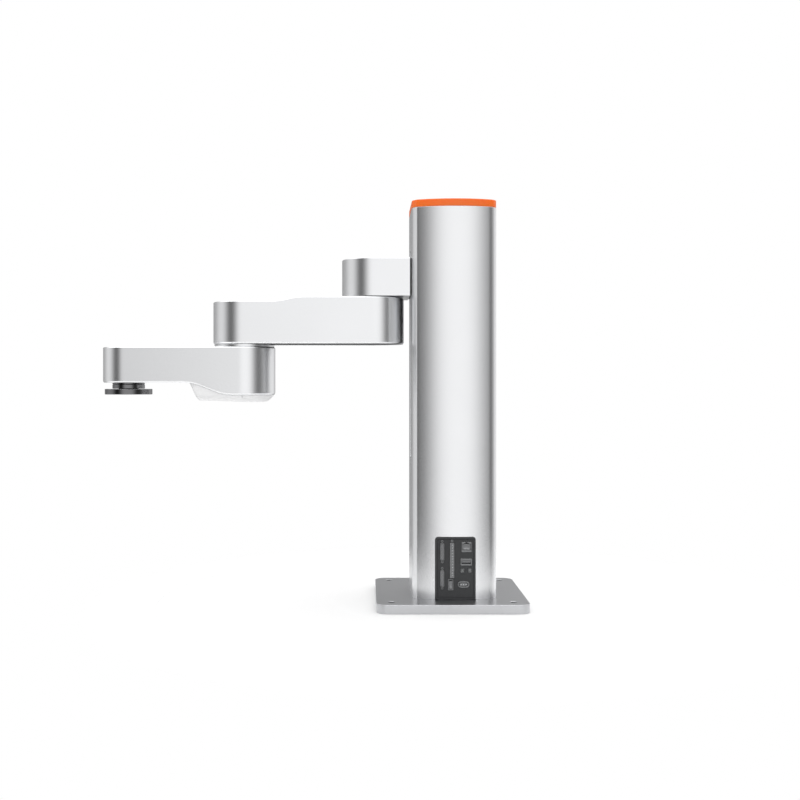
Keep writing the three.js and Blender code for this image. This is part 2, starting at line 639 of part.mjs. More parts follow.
const HOUSING = { capR: 22, capLow: 291.6, capHigh: FORE.tipLow - GAP, bodyR: 20, top: 318 };
const TIP_PLATE_THICK = 3;
function forearmBottomPlate() {
  const inset = WALL + GAP;
  const low = FORE.tipLow + GAP;
  const high = low + TIP_PLATE_THICK;
  const plate = prism(armShape(ARM_R - inset, TIP_R - inset, FORE_SPAN), low, high, 10);
  const tipHalfX = [-FORE_SPAN - TIP_R, BELLY.nose[0] - 2 * GAP];
  const tipHalf = block(tipHalfX, [-ARM_R, ARM_R], [low - OVER, high + OVER]);
  return cut(common(plate, tipHalf), disc(HOUSING.bodyR + GAP, low - OVER, high + OVER, -FORE_SPAN));
}

function elbowShaft() {
  const { flangeR, r, low, shoulder, high } = ELBOW_SHAFT;
  return turned([[0, low], [flangeR, low], [flangeR, shoulder], [r, shoulder], [r, high], [0, high]]);
}

function spindleHousing() {
  const { capR, capLow, capHigh, bodyR, top } = HOUSING;
  const bore = SPINDLE_R + GAP;
  const cap = [[bore, capLow], [capR, capLow], [capR, capHigh]];
  const body = [[bodyR, capHigh], [bodyR, top], [bore, top]];
  return turned([...cap, ...body, cap[0]], -FORE_SPAN);
}

const SPINDLE_R = 10;
place(forearm, 'forearm_shell', forearmShell(), 'aluminium');
place(forearm, 'forearm_bottom_plate', forearmBottomPlate(), 'aluminium');
place(forearm, 'forearm_belly', forearmBelly(), 'white');
place(forearm, 'elbow_shaft', elbowShaft(), 'aluminium');
place(forearm, 'elbow_pulley', disc(BELT.elbowR, PULLEY.low, PULLEY.high), 'aluminium');
place(forearm, 'spindle_housing', spindleHousing(), 'blackMetal');
const toolMotor = squareMotor(TOOL_MOTOR.x, TOOL_MOTOR.low, TOOL_MOTOR.high, 1, TOOL_MOTOR.shaft);
place(forearm, 'tool_motor', toolMotor, 'black');
const toolMotorTop = TOOL_MOTOR.high + GAP;
const toolPlate = motorPlate(TOOL_MOTOR.x, TOOL_MOTOR.plateHalf, toolMotorTop, TOOL_MOTOR.plateHigh);
place(forearm, 'tool_motor_mount', toolPlate, 'aluminium');
const toolBeltSpan = FORE_SPAN + TOOL_MOTOR.x;
const toolBelt = beltLoop(BELT.smallR, BELT.toolR, toolBeltSpan, TOOL_PULLEY.low + 1, TOOL_PULLEY.high - 1);
place(forearm, 'tool_belt', toolBelt, 'rubber').position.x = TOOL_MOTOR.x;
const toolMotorPulley = ring(MOTOR.shaftR + GAP, BELT.smallR, TOOL_PULLEY.low, TOOL_PULLEY.high, 0, 24);
place(forearm, 'tool_motor_pulley', toolMotorPulley, 'aluminium').position.x = TOOL_MOTOR.x;

// ---- turning tool end, measured from the tool axis ----
const FLANGE = { r: 32.25, low: 283, high: 290, neckR: 12.5, neckTop: 291.3, chamfer: 1 };
const TAPPED = { r: 1.65, pitchR: 24, depth: 5.5 };
const SPINDLE_TOP = 337;

function toolFlange() {
  const { r, low, high, neckR, neckTop, chamfer } = FLANGE;
  const profile = [
    [0, low], [r - chamfer, low], [r, low + chamfer], [r, high - chamfer], [r - chamfer, high],
    [neckR, high], [neckR, neckTop], [0, neckTop],
  ];
  const holes = [0, 1, 2, 3].map((quarter) => {
    const angle = Math.PI / 4 + (quarter * Math.PI) / 2;
    const hole = disc(TAPPED.r, low - OVER, low + TAPPED.depth, 0, 10);
    return hole.translate(TAPPED.pitchR * Math.cos(angle), TAPPED.pitchR * Math.sin(angle), 0);
  });
  return cut(turned(profile, 0, 36), ...holes);
}

place(tool, 'tool_spindle', disc(SPINDLE_R, FLANGE.neckTop + GAP, SPINDLE_TOP, 0, 24), 'steel');
place(tool, 'tool_pulley', ring(SPINDLE_R + GAP, BELT.toolR, TOOL_PULLEY.low, TOOL_PULLEY.high), 'aluminium');
place(tool, 'tool_flange', toolFlange(), 'blackMetal');

export default robot;
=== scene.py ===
import json
import math

import bmesh
import bpy
from mathutils import Matrix, Vector


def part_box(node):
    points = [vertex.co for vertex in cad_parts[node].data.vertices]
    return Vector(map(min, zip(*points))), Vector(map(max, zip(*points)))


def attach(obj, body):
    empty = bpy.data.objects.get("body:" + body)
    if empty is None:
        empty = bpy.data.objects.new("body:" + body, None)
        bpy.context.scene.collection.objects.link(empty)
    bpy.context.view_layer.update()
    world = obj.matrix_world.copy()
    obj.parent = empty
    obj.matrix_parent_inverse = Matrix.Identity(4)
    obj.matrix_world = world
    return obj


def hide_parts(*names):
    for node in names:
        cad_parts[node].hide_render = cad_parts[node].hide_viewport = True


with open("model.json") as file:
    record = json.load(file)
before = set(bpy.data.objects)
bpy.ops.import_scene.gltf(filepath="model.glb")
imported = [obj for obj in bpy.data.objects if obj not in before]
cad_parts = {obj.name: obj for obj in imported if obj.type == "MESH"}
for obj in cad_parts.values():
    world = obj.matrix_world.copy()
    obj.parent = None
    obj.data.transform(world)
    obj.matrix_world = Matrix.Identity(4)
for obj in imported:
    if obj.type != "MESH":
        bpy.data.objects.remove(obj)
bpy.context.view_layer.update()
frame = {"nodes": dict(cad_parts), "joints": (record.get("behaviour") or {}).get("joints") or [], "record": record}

MM = 0.001

# ---- places and sizes: some read from the frame, the rest given ----
JOINT_X = {joint["name"]: joint["pos_m"][0] for joint in frame["joints"] if "pos_m" in joint}
SHOULDER_X = JOINT_X["shoulder"]
ELBOW_X = JOINT_X["elbow"]
TOOL_X = JOINT_X["tool_spin"]

PLATE_LOW, PLATE_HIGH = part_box("base_plate")
COLUMN_LOW, COLUMN_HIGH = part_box("column_extrusion")
UPPER_LOW, UPPER_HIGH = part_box("upper_arm_shell")
FORE_LOW, FORE_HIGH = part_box("forearm_shell")
ARM_R = UPPER_HIGH.y
TIP_R = TOOL_X - FORE_LOW.x
WALL = 4 * MM
GAP = 0.3 * MM
FOOT_Z = PLATE_HIGH.z + 0.03 * MM
HOLE_PITCH = 160 * MM
SLOT_LOW, SLOT_HIGH, SLOT_HALF = 195 * MM, 480 * MM, 16 * MM
RING_WIDTH = 6 * MM
COLUMN_SIDE_R, COLUMN_CROWN, COLUMN_BACK_CORNER = 135 * MM, 66 * MM, 10 * MM
FACE_HALF, FACE_SHRINK, FACE_SOFT, BAND_DEPTH, BAND_SOFT = 48 * MM, 0.35, 4 * MM, 6.2 * MM, 1.2 * MM


# ---- outlines ----
# Each maker returns a function of an inset, which gives the outline's points, always as many, moved inwards.
# Every outline is symmetric about y = 0.
def arc(centre_x, centre_y, radius, start, end, steps):
    angles = [start + (end - start) * i / steps for i in range(steps + 1)]
    return [(centre_x + radius * math.cos(a), centre_y + radius * math.sin(a)) for a in angles]


def straight(start, end, steps):
    """The points after start, up to and with end."""
    shares = [i / steps for i in range(1, steps + 1)]
    return [(start[0] + (end[0] - start[0]) * s, start[1] + (end[1] - start[1]) * s) for s in shares]


def bend(start, corner, end, steps):
    """A rounded corner, as a quadratic curve with both of its ends."""
    points = []
    for i in range(steps + 1):
        t = i / steps
        weights = ((1 - t) ** 2, 2 * t * (1 - t), t**2)
        points.append(tuple(sum(w * p[k] for w, p in zip(weights, (start, corner, end))) for k in (0, 1)))
    return points


def mirrored(half):
    """Closes the +Y half of an outline, drawn from its +X end to its -X end, with its mirror image."""
    return half + [(x, -y) for x, y in reversed(half) if y > 1e-9]


def rounded_rect(width, height, corner, steps=6):
    def outline(inset=0.0):
        radius = max(corner - inset, corner * 0.3)
        half_w, half_h = width / 2 - inset - radius, height / 2 - inset - radius
        right = arc(half_w, half_h, radius, 0, math.pi / 2, steps)
        left = arc(-half_w, half_h, radius, math.pi / 2, math.pi, steps)
        return mirrored(right + left)
    return outline


def circle(radius, steps=48):
    def outline(inset=0.0):
        half = arc(0, 0, radius - inset, 0, math.pi, steps // 2)
        half[-1] = (inset - radius, 0)
        return mirrored(half)
    return outline


def polygon(radius, sides, steps=24):
    """A regular polygon with as many points as a circle of the same steps."""
    def outline(inset=0.0):
        half = []
        for i in range(steps // 2 + 1):
            angle = 2 * math.pi * i / steps
            within = (angle + math.pi / sides) % (2 * math.pi / sides) - math.pi / sides
            reach = (radius - inset) * math.cos(math.pi / sides) / math.cos(within)
            half.append((reach * math.cos(angle), reach * math.sin(angle)))
        half[-1] = (half[-1][0], 0)
        return mirrored(half)
    return outline


def toothed(radius, teeth, depth):
    """A timing pulley's rim: flat-topped teeth with sloping flanks."""
    def outline(inset=0.0):
        half = []
        for i in range(teeth * 2 + 1):
            reach = radius - inset - (depth if i % 4 in (2, 3) else 0)
            angle = math.pi * (i + (0.35 if i % 2 else 0)) / (teeth * 2)
            half.append((reach * math.cos(min(angle, math.pi)), reach * math.sin(min(angle, math.pi))))
        half[-1] = (half[-1][0], 0)
        return mirrored(half)
    return outline


def arm(near_x, near_r, far_x, far_r, side_steps=40, end_steps=22):
    """Two round ends joined by their outer tangents; near_x is the +X end's centre."""
    tangent = math.acos((far_r - near_r) / (near_x - far_x))

    def outline(inset=0.0):
        near = arc(near_x, 0, near_r - inset, 0, tangent, end_steps)
        far = arc(far_x, 0, far_r - inset, tangent, math.pi, end_steps)
        far[-1] = (far_x - far_r + inset, 0)
        return mirrored(near + straight(near[-1], far[0], side_steps) + far[1:])
    return outline


def bracket_end(x0, radius, x1, corner):
    """A round end about x0 and square sides running to x1, with small corners there."""
    def outline(inset=0.0):
        small = max(corner - inset, corner * 0.3)
        right = arc(x1 - inset - small, radius - inset - small, small, 0, math.pi / 2, 5)
        left = arc(x0, 0, radius - inset, math.pi / 2, math.pi, 24)
        left[-1] = (x0 - radius + inset, 0)
        return mirrored(right + straight(right[-1], left[0], 8) + left[1:])
    return outline


def column_outline(inset=0.0):
    """The extrusion: flat arm-side face, corner bands, bulged sides, flat back with rounded corners."""
    middle = (COLUMN_LOW.x + COLUMN_HIGH.x) / 2
    side_r, corner = COLUMN_SIDE_R - inset, COLUMN_BACK_CORNER - inset / 2
    centre_y = COLUMN_CROWN - COLUMN_SIDE_R
    face_x, back_x = COLUMN_LOW.x + inset, COLUMN_HIGH.x - inset
    face_half, band_x, soft = FACE_HALF - inset * FACE_SHRINK, face_x + BAND_DEPTH, BAND_SOFT

    def side(x):
        return centre_y + math.sqrt(side_r**2 - (x - middle) ** 2)

    turn_x, steps = back_x - corner, 44
    back = bend((back_x, side(back_x) - corner), (back_x, side(back_x)), (turn_x, side(turn_x)), 8)
    bulge_x = [turn_x + (band_x + soft - turn_x) * i / steps for i in range(1, steps)]
    bulge = [(x, side(x)) for x in bulge_x]
    band_top, face_top = Vector((band_x, side(band_x))), Vector((face_x, face_half))
    along = (face_top - band_top).normalized()
    upper = bend((band_x + soft, side(band_x + soft)), band_top, band_top + along * soft, 4)
    lower = bend(face_top - along * FACE_SOFT, face_top, (face_x, face_half - FACE_SOFT), 6)
    return mirrored(back + bulge + upper + lower + straight(lower[-1], (face_x, 4 * MM), 6))


# ---- meshes ----
WEAR = "edge_wear"


def loft(bm, rings, closed=False, matrix=None):
    """Skins rings of equal length, each (points, wear). An open loft is capped at both ends by strips across
    the outline. A closed one joins its last ring to its first."""
    wear_layer = bm.verts.layers.float.get(WEAR) or bm.verts.layers.float.new(WEAR)
    rows = []
    for points, wear in rings:
        row = []
        for point in points:
            vert = bm.verts.new(matrix @ Vector(point) if matrix else point)
            vert[wear_layer] = wear
            row.append(vert)
        rows.append(row)
    faces = []
    count = len(rows[0])
    for upper, lower in list(zip(rows, rows[1:])) + ([(rows[-1], rows[0])] if closed else []):
        for i in range(count):
            j = (i + 1) % count
            faces.append(bm.faces.new((upper[i], upper[j], lower[j], lower[i])))
    if not closed:
        shift = 0 if abs(rings[0][0][0][1]) < 1e-9 else 1
        for row in (rows[0], rows[-1]):
            for i in range((count - shift) // 2):
                across = count - shift - i
                unique = list(dict.fromkeys((row[i], row[i + 1], row[across - 1], row[across % count])))
                if len(unique) > 2:
                    faces.append(bm.faces.new(unique))
    bmesh.ops.recalc_face_normals(bm, faces=faces)


def edge_rings(outline, profile, low, high):
    """Rings from profile entries (inset, side, offset, wear): side is "low" or "high", and low and high
    give the height there, as a number or as a function of x."""
    base = outline()
    rings = []
    for inset, side, offset, wear in profile:
        level = low if side == "low" else high
        heights = [(level(x) if callable(level) else level) + offset for x, _ in base]
        rings.append(([(x, y, z) for (x, y), z in zip(outline(inset), heights)], wear))
    return rings


def ring_at(outline, inset, z, wear=0):
    """A level ring of an outline."""
    return [(x, y, z) for x, y in outline(inset)], wear


def rounding(side, radius, steps=4):
    """Profile entries for a rounded edge: off the top face onto the wall, or off the wall onto the bottom."""
    sign = -1 if side == "high" else 1
    support = min(0.5 * MM, radius)
    entries = [(radius + support, side, 0, 0)]
    for i in range(steps + 1):
        angle = math.pi / 2 * i / steps
        wear = 1 if 0 < i < steps else 0.5
        entries.append((radius * (1 - math.sin(angle)), side, sign * radius * (1 - math.cos(angle)), wear))
    entries.append((0, side, sign * (radius + support), 0))
    return entries if side == "high" else entries[::-1]


def rim(side, wall, chamfer=0.4 * MM):
    """Profile entries over a wall's end, onto its inner side at the bottom, or off it at the top."""
    sign = -1 if side == "high" else 1
    entries = [(wall - chamfer, side, 0, 0.6), (wall, side, sign * chamfer, 0.6)]
    entries.append((wall, side, sign * (chamfer + 0.5 * MM), 0))
    return entries if side == "low" else entries[::-1]


def new(maker, *sizes, **more):
    """A fresh bmesh with one solid in it."""
    bm = bmesh.new()
    maker(bm, *sizes, **more)
    return bm


def prism(bm, outline, z0, z1, matrix=None):
    """A solid between two heights with sharp rims."""
    loft(bm, [ring_at(outline, 0, z) for z in (z0, z1)], matrix=matrix)


def slab(bm, outline, z0, z1, radius, matrix=None, steps=3):
    """A solid between two heights with rounded rims."""
    profile = rounding("high", radius, steps) + rounding("low", radius, steps)
    loft(bm, edge_rings(outline, profile, z0, z1), matrix=matrix)


def block(bm, low, high, corner, radius):
    """A block between two corners, its upright edges rounded to corner and its rims to radius."""
    centre, size = (low + high) / 2, high - low
    slab(bm, rounded_rect(size.x, size.y, corner, 3), low.z, high.z, radius, at(centre.x, centre.y, 0))


def tube(bm, outline, wall, z0, z1, radius, matrix=None):
    """A solid like a slab, open right through, with walls of that thickness."""
    profile = rim("high", wall) + rounding("high", radius) + rounding("low", radius) + rim("low", wall)
    loft(bm, edge_rings(outline, profile, z0, z1), closed=True, matrix=matrix)


def cup(bm, outline, wall, z0, z1, floor, radius, matrix=None):
    """A solid with a recess of that wall thickness, sunk from its top down to floor."""
    lip = min(radius, wall / 3)
    levels = [
        (wall, floor, 0), (wall, z1 - lip, 0.4), (wall - lip, z1, 0.7), (lip, z1, 0.9),
        (0, z1 - lip, 0.9), (0, z0, 0),
    ]
    loft(bm, [ring_at(outline, *level) for level in levels], matrix=matrix)


def frame_prism(bm, outer, inner, z0, z1, chamfer, matrix=None):
    """A plate with a hole of another shape; both outlines have the same number of points."""
    levels = [
        (inner, 0, z0 + chamfer, 0.5), (inner, 0, z1 - chamfer, 0.5), (inner, -chamfer, z1, 0.5),
        (outer, chamfer, z1, 0.8), (outer, 0, z1 - chamfer, 0.8), (outer, 0, z0 + chamfer, 0.8),
        (outer, chamfer, z0, 0.8), (inner, -chamfer, z0, 0.5),
    ]
    loft(bm, [ring_at(*level) for level in levels], closed=True, matrix=matrix)


def chamfered(points, chamfer):
    """A turned profile of (radius, z, wear), with the corners of its (radius, z) points broken."""
    result = []
    for i, point in enumerate(points):
        if i in (0, len(points) - 1):
            result.append((*point, 0))
            continue
        here = Vector(point)
        for neighbour, order in ((points[i - 1], 1), (points[i + 1], -1)):
            away = Vector(neighbour) - here
            near = here + away.normalized() * min(chamfer, away.length * 0.4)
            far = here + away.normalized() * min(2 * chamfer, away.length * 0.48)
            result += [(far.x, far.y, 0), (near.x, near.y, 1)][::order]
    return result


def turn(bm, profile, x=0.0, y=0.0, closed=False, steps=72):
    """A turned solid about a vertical axis; a closed profile makes a ring. Points on the axis are left to
    the caps."""
    rings = [ring_at(circle(radius, steps), 0, z, wear) for radius, z, wear in profile if radius]
    loft(bm, rings, closed, Matrix.Translation((x, y, 0)))


def stepped(bore, z, *steps):
    """A turned profile's corners from z on: each step is a radius and the height where it ends."""
    corners = [(bore, z)]
    for radius, end in steps:
        corners += [(radius, z), (radius, end)]
        z = end
    return corners + [(bore, z)]


def socket_screw(bm, matrix, radius, height):
    """A round screw head with a hexagon socket, standing height above its seat."""
    edge = radius * 0.16
    levels = [
        (circle(radius, 24), 0, -0.2 * MM, 0), (circle(radius, 24), 0, height - edge, 0.5),
        (circle(radius - edge, 24), 0, height, 1), (circle(radius * 0.66, 24), 0, height, 0),
        (polygon(radius * 0.55, 6), 0, height, 0.5), (polygon(radius * 0.52, 6), 0, height - radius * 0.7, 0),
    ]
    loft(bm, [ring_at(*level) for level in levels], matrix=matrix)


def carve(bm, cutter):
    """Cuts the closed bodies of one bmesh out of another and returns the result."""
    objects = []
    for part in (bm, cutter):
        mesh = bpy.data.meshes.new("carve")
        part.to_mesh(mesh)
        part.free()
        thing = bpy.data.objects.new("carve", mesh)
        bpy.context.scene.collection.objects.link(thing)
        objects.append(thing)
    body, tool = objects
    modifier = body.modifiers.new("carve", "BOOLEAN")
    modifier.operation = "DIFFERENCE"
    modifier.solver = "EXACT"
    modifier.use_self = True
    modifier.object = tool
    bpy.context.view_layer.update()
    evaluated = body.evaluated_get(bpy.context.evaluated_depsgraph_get())
    result = bmesh.new()
    result.from_mesh(evaluated.to_mesh())
    evaluated.to_mesh_clear()
    for thing in objects:
        mesh = thing.data
        bpy.data.objects.remove(thing)
        bpy.data.meshes.remove(mesh)
    return result


def piece(name, bm, slot, body, replaces=(), sharp=38):
    """Turns a bmesh into a piece that rides on a body and takes its finish from a slot; edges over sharp
    degrees stay sharp."""
    mesh = bpy.data.meshes.new(name)
    bm.to_mesh(mesh)
    bm.free()
    mesh.polygons.foreach_set("use_smooth", [True] * len(mesh.polygons))
    mesh.set_sharp_from_angle(angle=math.radians(sharp))
    mesh.materials.append(MATERIALS[slot])
    made = bpy.data.objects.new(name, mesh)
    bpy.context.scene.collection.objects.link(made)
    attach(made, body)
    if replaces:
        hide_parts(*replaces)
    return made


# Local Z is the named direction of the row frame, with the outline's X and Y across it.
TOWARDS_FRONT = Matrix(((1, 0, 0, 0), (0, 0, -1, 0), (0, 1, 0, 0), (0, 0, 0, 1)))
TOWARDS_ARMS = Matrix(((0, 0, -1, 0), (1, 0, 0, 0), (0, -1, 0, 0), (0, 0, 0, 1)))
DOWN = Matrix(((1, 0, 0, 0), (0, -1, 0, 0), (0, 0, -1, 0), (0, 0, 0, 1)))


def at(x, y, z, turned_to=None):
    return Matrix.Translation((x, y, z)) @ (turned_to or Matrix())


def bores(spots, levels, facing=None):
    """Round cutters of levels (radius, height) at each spot, along the facing frame's Z."""
    bm = bmesh.new()
    for spot in spots:
        loft(bm, [ring_at(circle(radius, 28), 0, z) for radius, z in levels], matrix=at(*spot, facing))
    return bm


def screws(name, body, spots, radius, facing=None, height=None):
    bm = bmesh.new()
    for spot in spots:
        socket_screw(bm, at(*spot, facing), radius, height or radius * 0.9)
    piece(name, bm, "steel", body)


def turned_piece(name, corners, chamfer, slot, body, x, replaces=(), closed=False, steps=72):
    """A turned piece about the vertical axis at x; a closed one is a ring, with every corner broken."""
    if closed:
        profile = chamfered([corners[-1], *corners, corners[0]], chamfer)[1:-1]
    else:
        profile = chamfered(corners, chamfer)
    piece(name, new(turn, profile, x, closed=closed, steps=steps), slot, body, replaces)


def ring_spots(x, radius, z, count, start=0.0):
    angles = [start + 2 * math.pi * i / count for i in range(count)]
    return [(x + radius * math.cos(a), radius * math.sin(a), z) for a in angles]


def square_spots(x, reach, z):
    return [(x + i * reach, j * reach, z) for i in (-1, 1) for j in (-1, 1)]


# ---- materials ----
def add(tree, kind, inputs=None, **settings):
    """A shader node; an input is a value, or another node's output to link."""
    made = tree.nodes.new(kind)
    for key, value in settings.items():
        setattr(made, key, value)
    for key, value in (inputs or {}).items():
        if isinstance(value, bpy.types.NodeSocket):
            tree.links.new(value, made.inputs[key])
        else:
            made.inputs[key].default_value = value
    return made


def noise(tree, place, size, detail=3.0):
    """A noise of that feature size in metres, 0 to 1."""
    inputs = {"Vector": place, "Scale": 1 / size, "Detail": detail}
    return add(tree, "ShaderNodeTexNoise", inputs).outputs["Fac"]


def mix(tree, factor, first, second):
    """A colour between two, by a factor."""
    made = add(tree, "ShaderNodeMix", data_type="RGBA")
    for key, value in (("Factor_Float", factor), ("A_Color", first), ("B_Color", second)):
        socket = next(s for s in made.inputs if s.identifier == key)
        if isinstance(value, bpy.types.NodeSocket):
            tree.links.new(value, socket)
        else:
            socket.default_value = value
    return next(s for s in made.outputs if s.identifier == "Result_Color")


def scaled(tree, value, from_min, from_max, to_min, to_max):
    inputs = {"Value": value, "From Min": from_min, "From Max": from_max, "To Min": to_min, "To Max": to_max}
    return add(tree, "ShaderNodeMapRange", inputs).outputs["Result"]


def shade(colour, factor):
    return (*[min(1, c * factor) for c in colour], 1)


def finish(name, colour, roughness, metallic=0.0, grain=0.4 * MM, stretch=(1, 1, 1), bump=0.05, blotch=0.05,
           spread=0.05, worn=1.15, axis_x=None, sockets=None):
    """A procedural finish: large soft blotches and fine grain in the colour, grain in the roughness and the
    relief, and rims that are polished or paler where they wear. stretch draws the grain out into lines;
    axis_x turns it into lathe rings about the vertical axis there."""
    material = bpy.data.materials.new(name)
    material.use_nodes = True
    tree = material.node_tree
    shader = tree.nodes["Principled BSDF"]
    shader.inputs["Metallic"].default_value = metallic
    for key, value in (sockets or {}).items():
        shader.inputs[key].default_value = value
    place = add(tree, "ShaderNodeTexCoord").outputs["Object"]
    if axis_x is not None:
        axis = (axis_x, 0, 0)
        moved = add(tree, "ShaderNodeVectorMath", {0: place, 1: axis}, operation="SUBTRACT").outputs[0]
        flat = add(tree, "ShaderNodeVectorMath", {0: moved, 1: (1, 1, 0)}, operation="MULTIPLY").outputs[0]
        radius = add(tree, "ShaderNodeVectorMath", {0: flat}, operation="LENGTH").outputs["Value"]
        height = add(tree, "ShaderNodeSeparateXYZ", {0: place}).outputs["Z"]
        lines = add(tree, "ShaderNodeCombineXYZ", {"X": radius, "Y": height}).outputs[0]
    else:
        lines = add(tree, "ShaderNodeMapping", {"Vector": place, "Scale": stretch}).outputs[0]
    fine = noise(tree, lines, grain)
    cloud = noise(tree, place, 70 * MM, 2.0)
    dark, pale = shade(colour, 1 - blotch), shade(colour, 1 + blotch * 0.5)
    base = mix(tree, scaled(tree, cloud, 0.3, 0.7, 0, 1), dark, pale)
    speckled = mix(tree, scaled(tree, fine, 0.35, 0.65, 0, blotch), base, shade(colour, 0.5))
    wear = add(tree, "ShaderNodeAttribute", attribute_name=WEAR).outputs["Fac"]
    broken = scaled(tree, noise(tree, place, 4 * MM), 0.35, 0.7, 0.15, 0.9)
    rubbed = add(tree, "ShaderNodeMath", {0: wear, 1: broken}, operation="MULTIPLY").outputs[0]
    tree.links.new(mix(tree, rubbed, speckled, shade(colour, worn)), shader.inputs["Base Color"])
    uneven = scaled(tree, fine, 0.3, 0.7, roughness - spread, roughness + spread)
    smooth = scaled(tree, rubbed, 0, 1, 0, -roughness * 0.25)
    total = add(tree, "ShaderNodeMath", {0: uneven, 1: smooth}, operation="ADD").outputs[0]
    tree.links.new(total, shader.inputs["Roughness"])
    relief = add(tree, "ShaderNodeBump", {"Height": fine, "Strength": bump, "Distance": 0.2 * MM})
    tree.links.new(relief.outputs["Normal"], shader.inputs["Normal"])
    return material


ALUMINIUM = (0.874, 0.88, 0.892)
ORANGE_SOCKETS = {
    "Subsurface Weight": 0.3, "Subsurface Radius": (0.006, 0.002, 0.001), "Subsurface Scale": 1.0,
    "Coat Weight": 0.1, "IOR": 1.4, "Emission Color": (1.0, 0.22, 0.02, 1), "Emission Strength": 0.045,
}
WHITE_SOCKETS = {"Subsurface Weight": 0.08, "Subsurface Radius": (0.003, 0.003, 0.003)}
FINISHES = {
    "satin_aluminium": dict(colour=ALUMINIUM, roughness=0.28, metallic=1, grain=0.1 * MM, stretch=(1, 1, 0.1),
                            bump=0.006, blotch=0.012, spread=0.02, worn=1.08),
    # painted shade: the foot plate's colour is set darker than the other aluminium, standing in for the shadowed
    # floor near the plate that its top and front reflect
    "plate_aluminium": dict(colour=(0.57, 0.575, 0.59), roughness=0.3, metallic=1, grain=0.1 * MM,
                            stretch=(0.1, 1, 1), bump=0.006, blotch=0.03, spread=0.02, worn=1.2),
    "machined_aluminium": dict(colour=(0.72, 0.73, 0.74), roughness=0.36, metallic=1, stretch=(1, 0.05, 1),
                               bump=0.12),
    "black_anodised": dict(colour=(0.2, 0.2, 0.205), roughness=0.08, metallic=1, grain=0.2 * MM, bump=0.01,
                           spread=0.015, worn=1.4, axis_x=TOOL_X),
    "orange_lens": dict(colour=(0.93, 0.17, 0.02), roughness=0.42, grain=1.5 * MM, bump=0.02, blotch=0.06,
                        sockets=ORANGE_SOCKETS),
    "black_plastic": dict(colour=(0.026, 0.027, 0.029), roughness=0.5, grain=0.5 * MM, bump=0.25, blotch=0.12,
                          spread=0.08, worn=1.8),
    "white_plastic": dict(colour=(0.975, 0.975, 0.98), roughness=0.34, grain=0.5 * MM, bump=0.03,
                          blotch=0.012, worn=1.0, sockets=WHITE_SOCKETS),
    "connector_grey": dict(colour=(0.19, 0.193, 0.198), roughness=0.42, metallic=0.2, grain=0.3 * MM,
                           bump=0.08, blotch=0.1, worn=1.5),
    "status_lens": dict(colour=(0.22, 0.23, 0.23), roughness=0.2, grain=0.8 * MM, bump=0.02, blotch=0.05,
                        sockets={"Transmission Weight": 0.25, "IOR": 1.49}),
    "motor_black": dict(colour=(0.035, 0.035, 0.036), roughness=0.45, grain=0.3 * MM, bump=0.2, blotch=0.1,
                        worn=2.2),
    "steel": dict(colour=(0.56, 0.57, 0.58), roughness=0.24, metallic=1, stretch=(1, 1, 0.06), bump=0.06,
                  worn=1.2),
    "rubber": dict(colour=(0.02, 0.02, 0.021), roughness=0.72, grain=0.35 * MM, bump=0.3, blotch=0.15,
                   worn=1.6),
    "circuit_board": dict(colour=(0.012, 0.11, 0.05), roughness=0.35, grain=2.4 * MM, stretch=(0.12, 1, 1),
                          bump=0.25, blotch=0.25, sockets={"Coat Weight": 0.4}),
}
MATERIALS = {name: finish(name, **looks) for name, looks in FINISHES.items()}


# ---- foot plate and column ----
def foot_plate():
    outline = rounded_rect(PLATE_HIGH.x - PLATE_LOW.x, PLATE_HIGH.y - PLATE_LOW.y, 14 * MM, 12)
    profile = rounding("high", 0.4 * MM) + rounding("low", 0.6 * MM)
    plate = new(loft, edge_rings(outline, profile, PLATE_LOW.z, PLATE_HIGH.z))
    radius, flare, top = 4.5 * MM, 0.4 * MM, PLATE_HIGH.z
    levels = [(radius + 2 * flare, top + flare, 0), (radius, top - flare, 0), (radius, -flare, 0)]
    holes = bmesh.new()
    for x, y, _ in square_spots(0, HOLE_PITCH / 2, 0):
        turn(holes, levels, x, y, steps=40)
    # the plate's finish carries painted shade: its colour is darkened to stand in for the shadowed floor that it
    # reflects
    piece("foot_plate", carve(plate, holes), "plate_aluminium", "base", ["base_plate"])


def column():
    profile = rim("high", WALL) + rounding("high", 0.4 * MM) + rounding("low", 0.1 * MM) + rim("low", WALL)
    extrusion = new(loft, edge_rings(column_outline, profile, FOOT_Z, COLUMN_HIGH.z), closed=True)
    slot = rounded_rect(2 * SLOT_HALF, SLOT_HIGH - SLOT_LOW, 5 * MM)
    flare = 0.5 * MM
    levels = [(-3 * flare, 2 * flare), (0, -flare), (0, -WALL - 4 * MM)]
    middle = at(COLUMN_LOW.x, 0, (SLOT_LOW + SLOT_HIGH) / 2, TOWARDS_ARMS)
    cutter = new(loft, [ring_at(slot, *level) for level in levels], matrix=middle)
    low, high = 2 * MM, PANEL_HIGH + GAP
    window = rounded_rect(PANEL_W + 2 * GAP, high - low, PANEL_CORNER + GAP)
    prism(cutter, window, 8 * MM, -11 * MM, at(PANEL_X, PANEL_FACE, (low + high) / 2, TOWARDS_FRONT))
    piece("column_tube", carve(extrusion, cutter), "satin_aluminium", "base", ["column_extrusion"])


def light_ring():
    low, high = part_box("light_ring")
    lens = new(tube, column_outline, RING_WIDTH, low.z, high.z, 0.9 * MM)
    piece("orange_light_ring", lens, "orange_lens", "base", ["light_ring"])


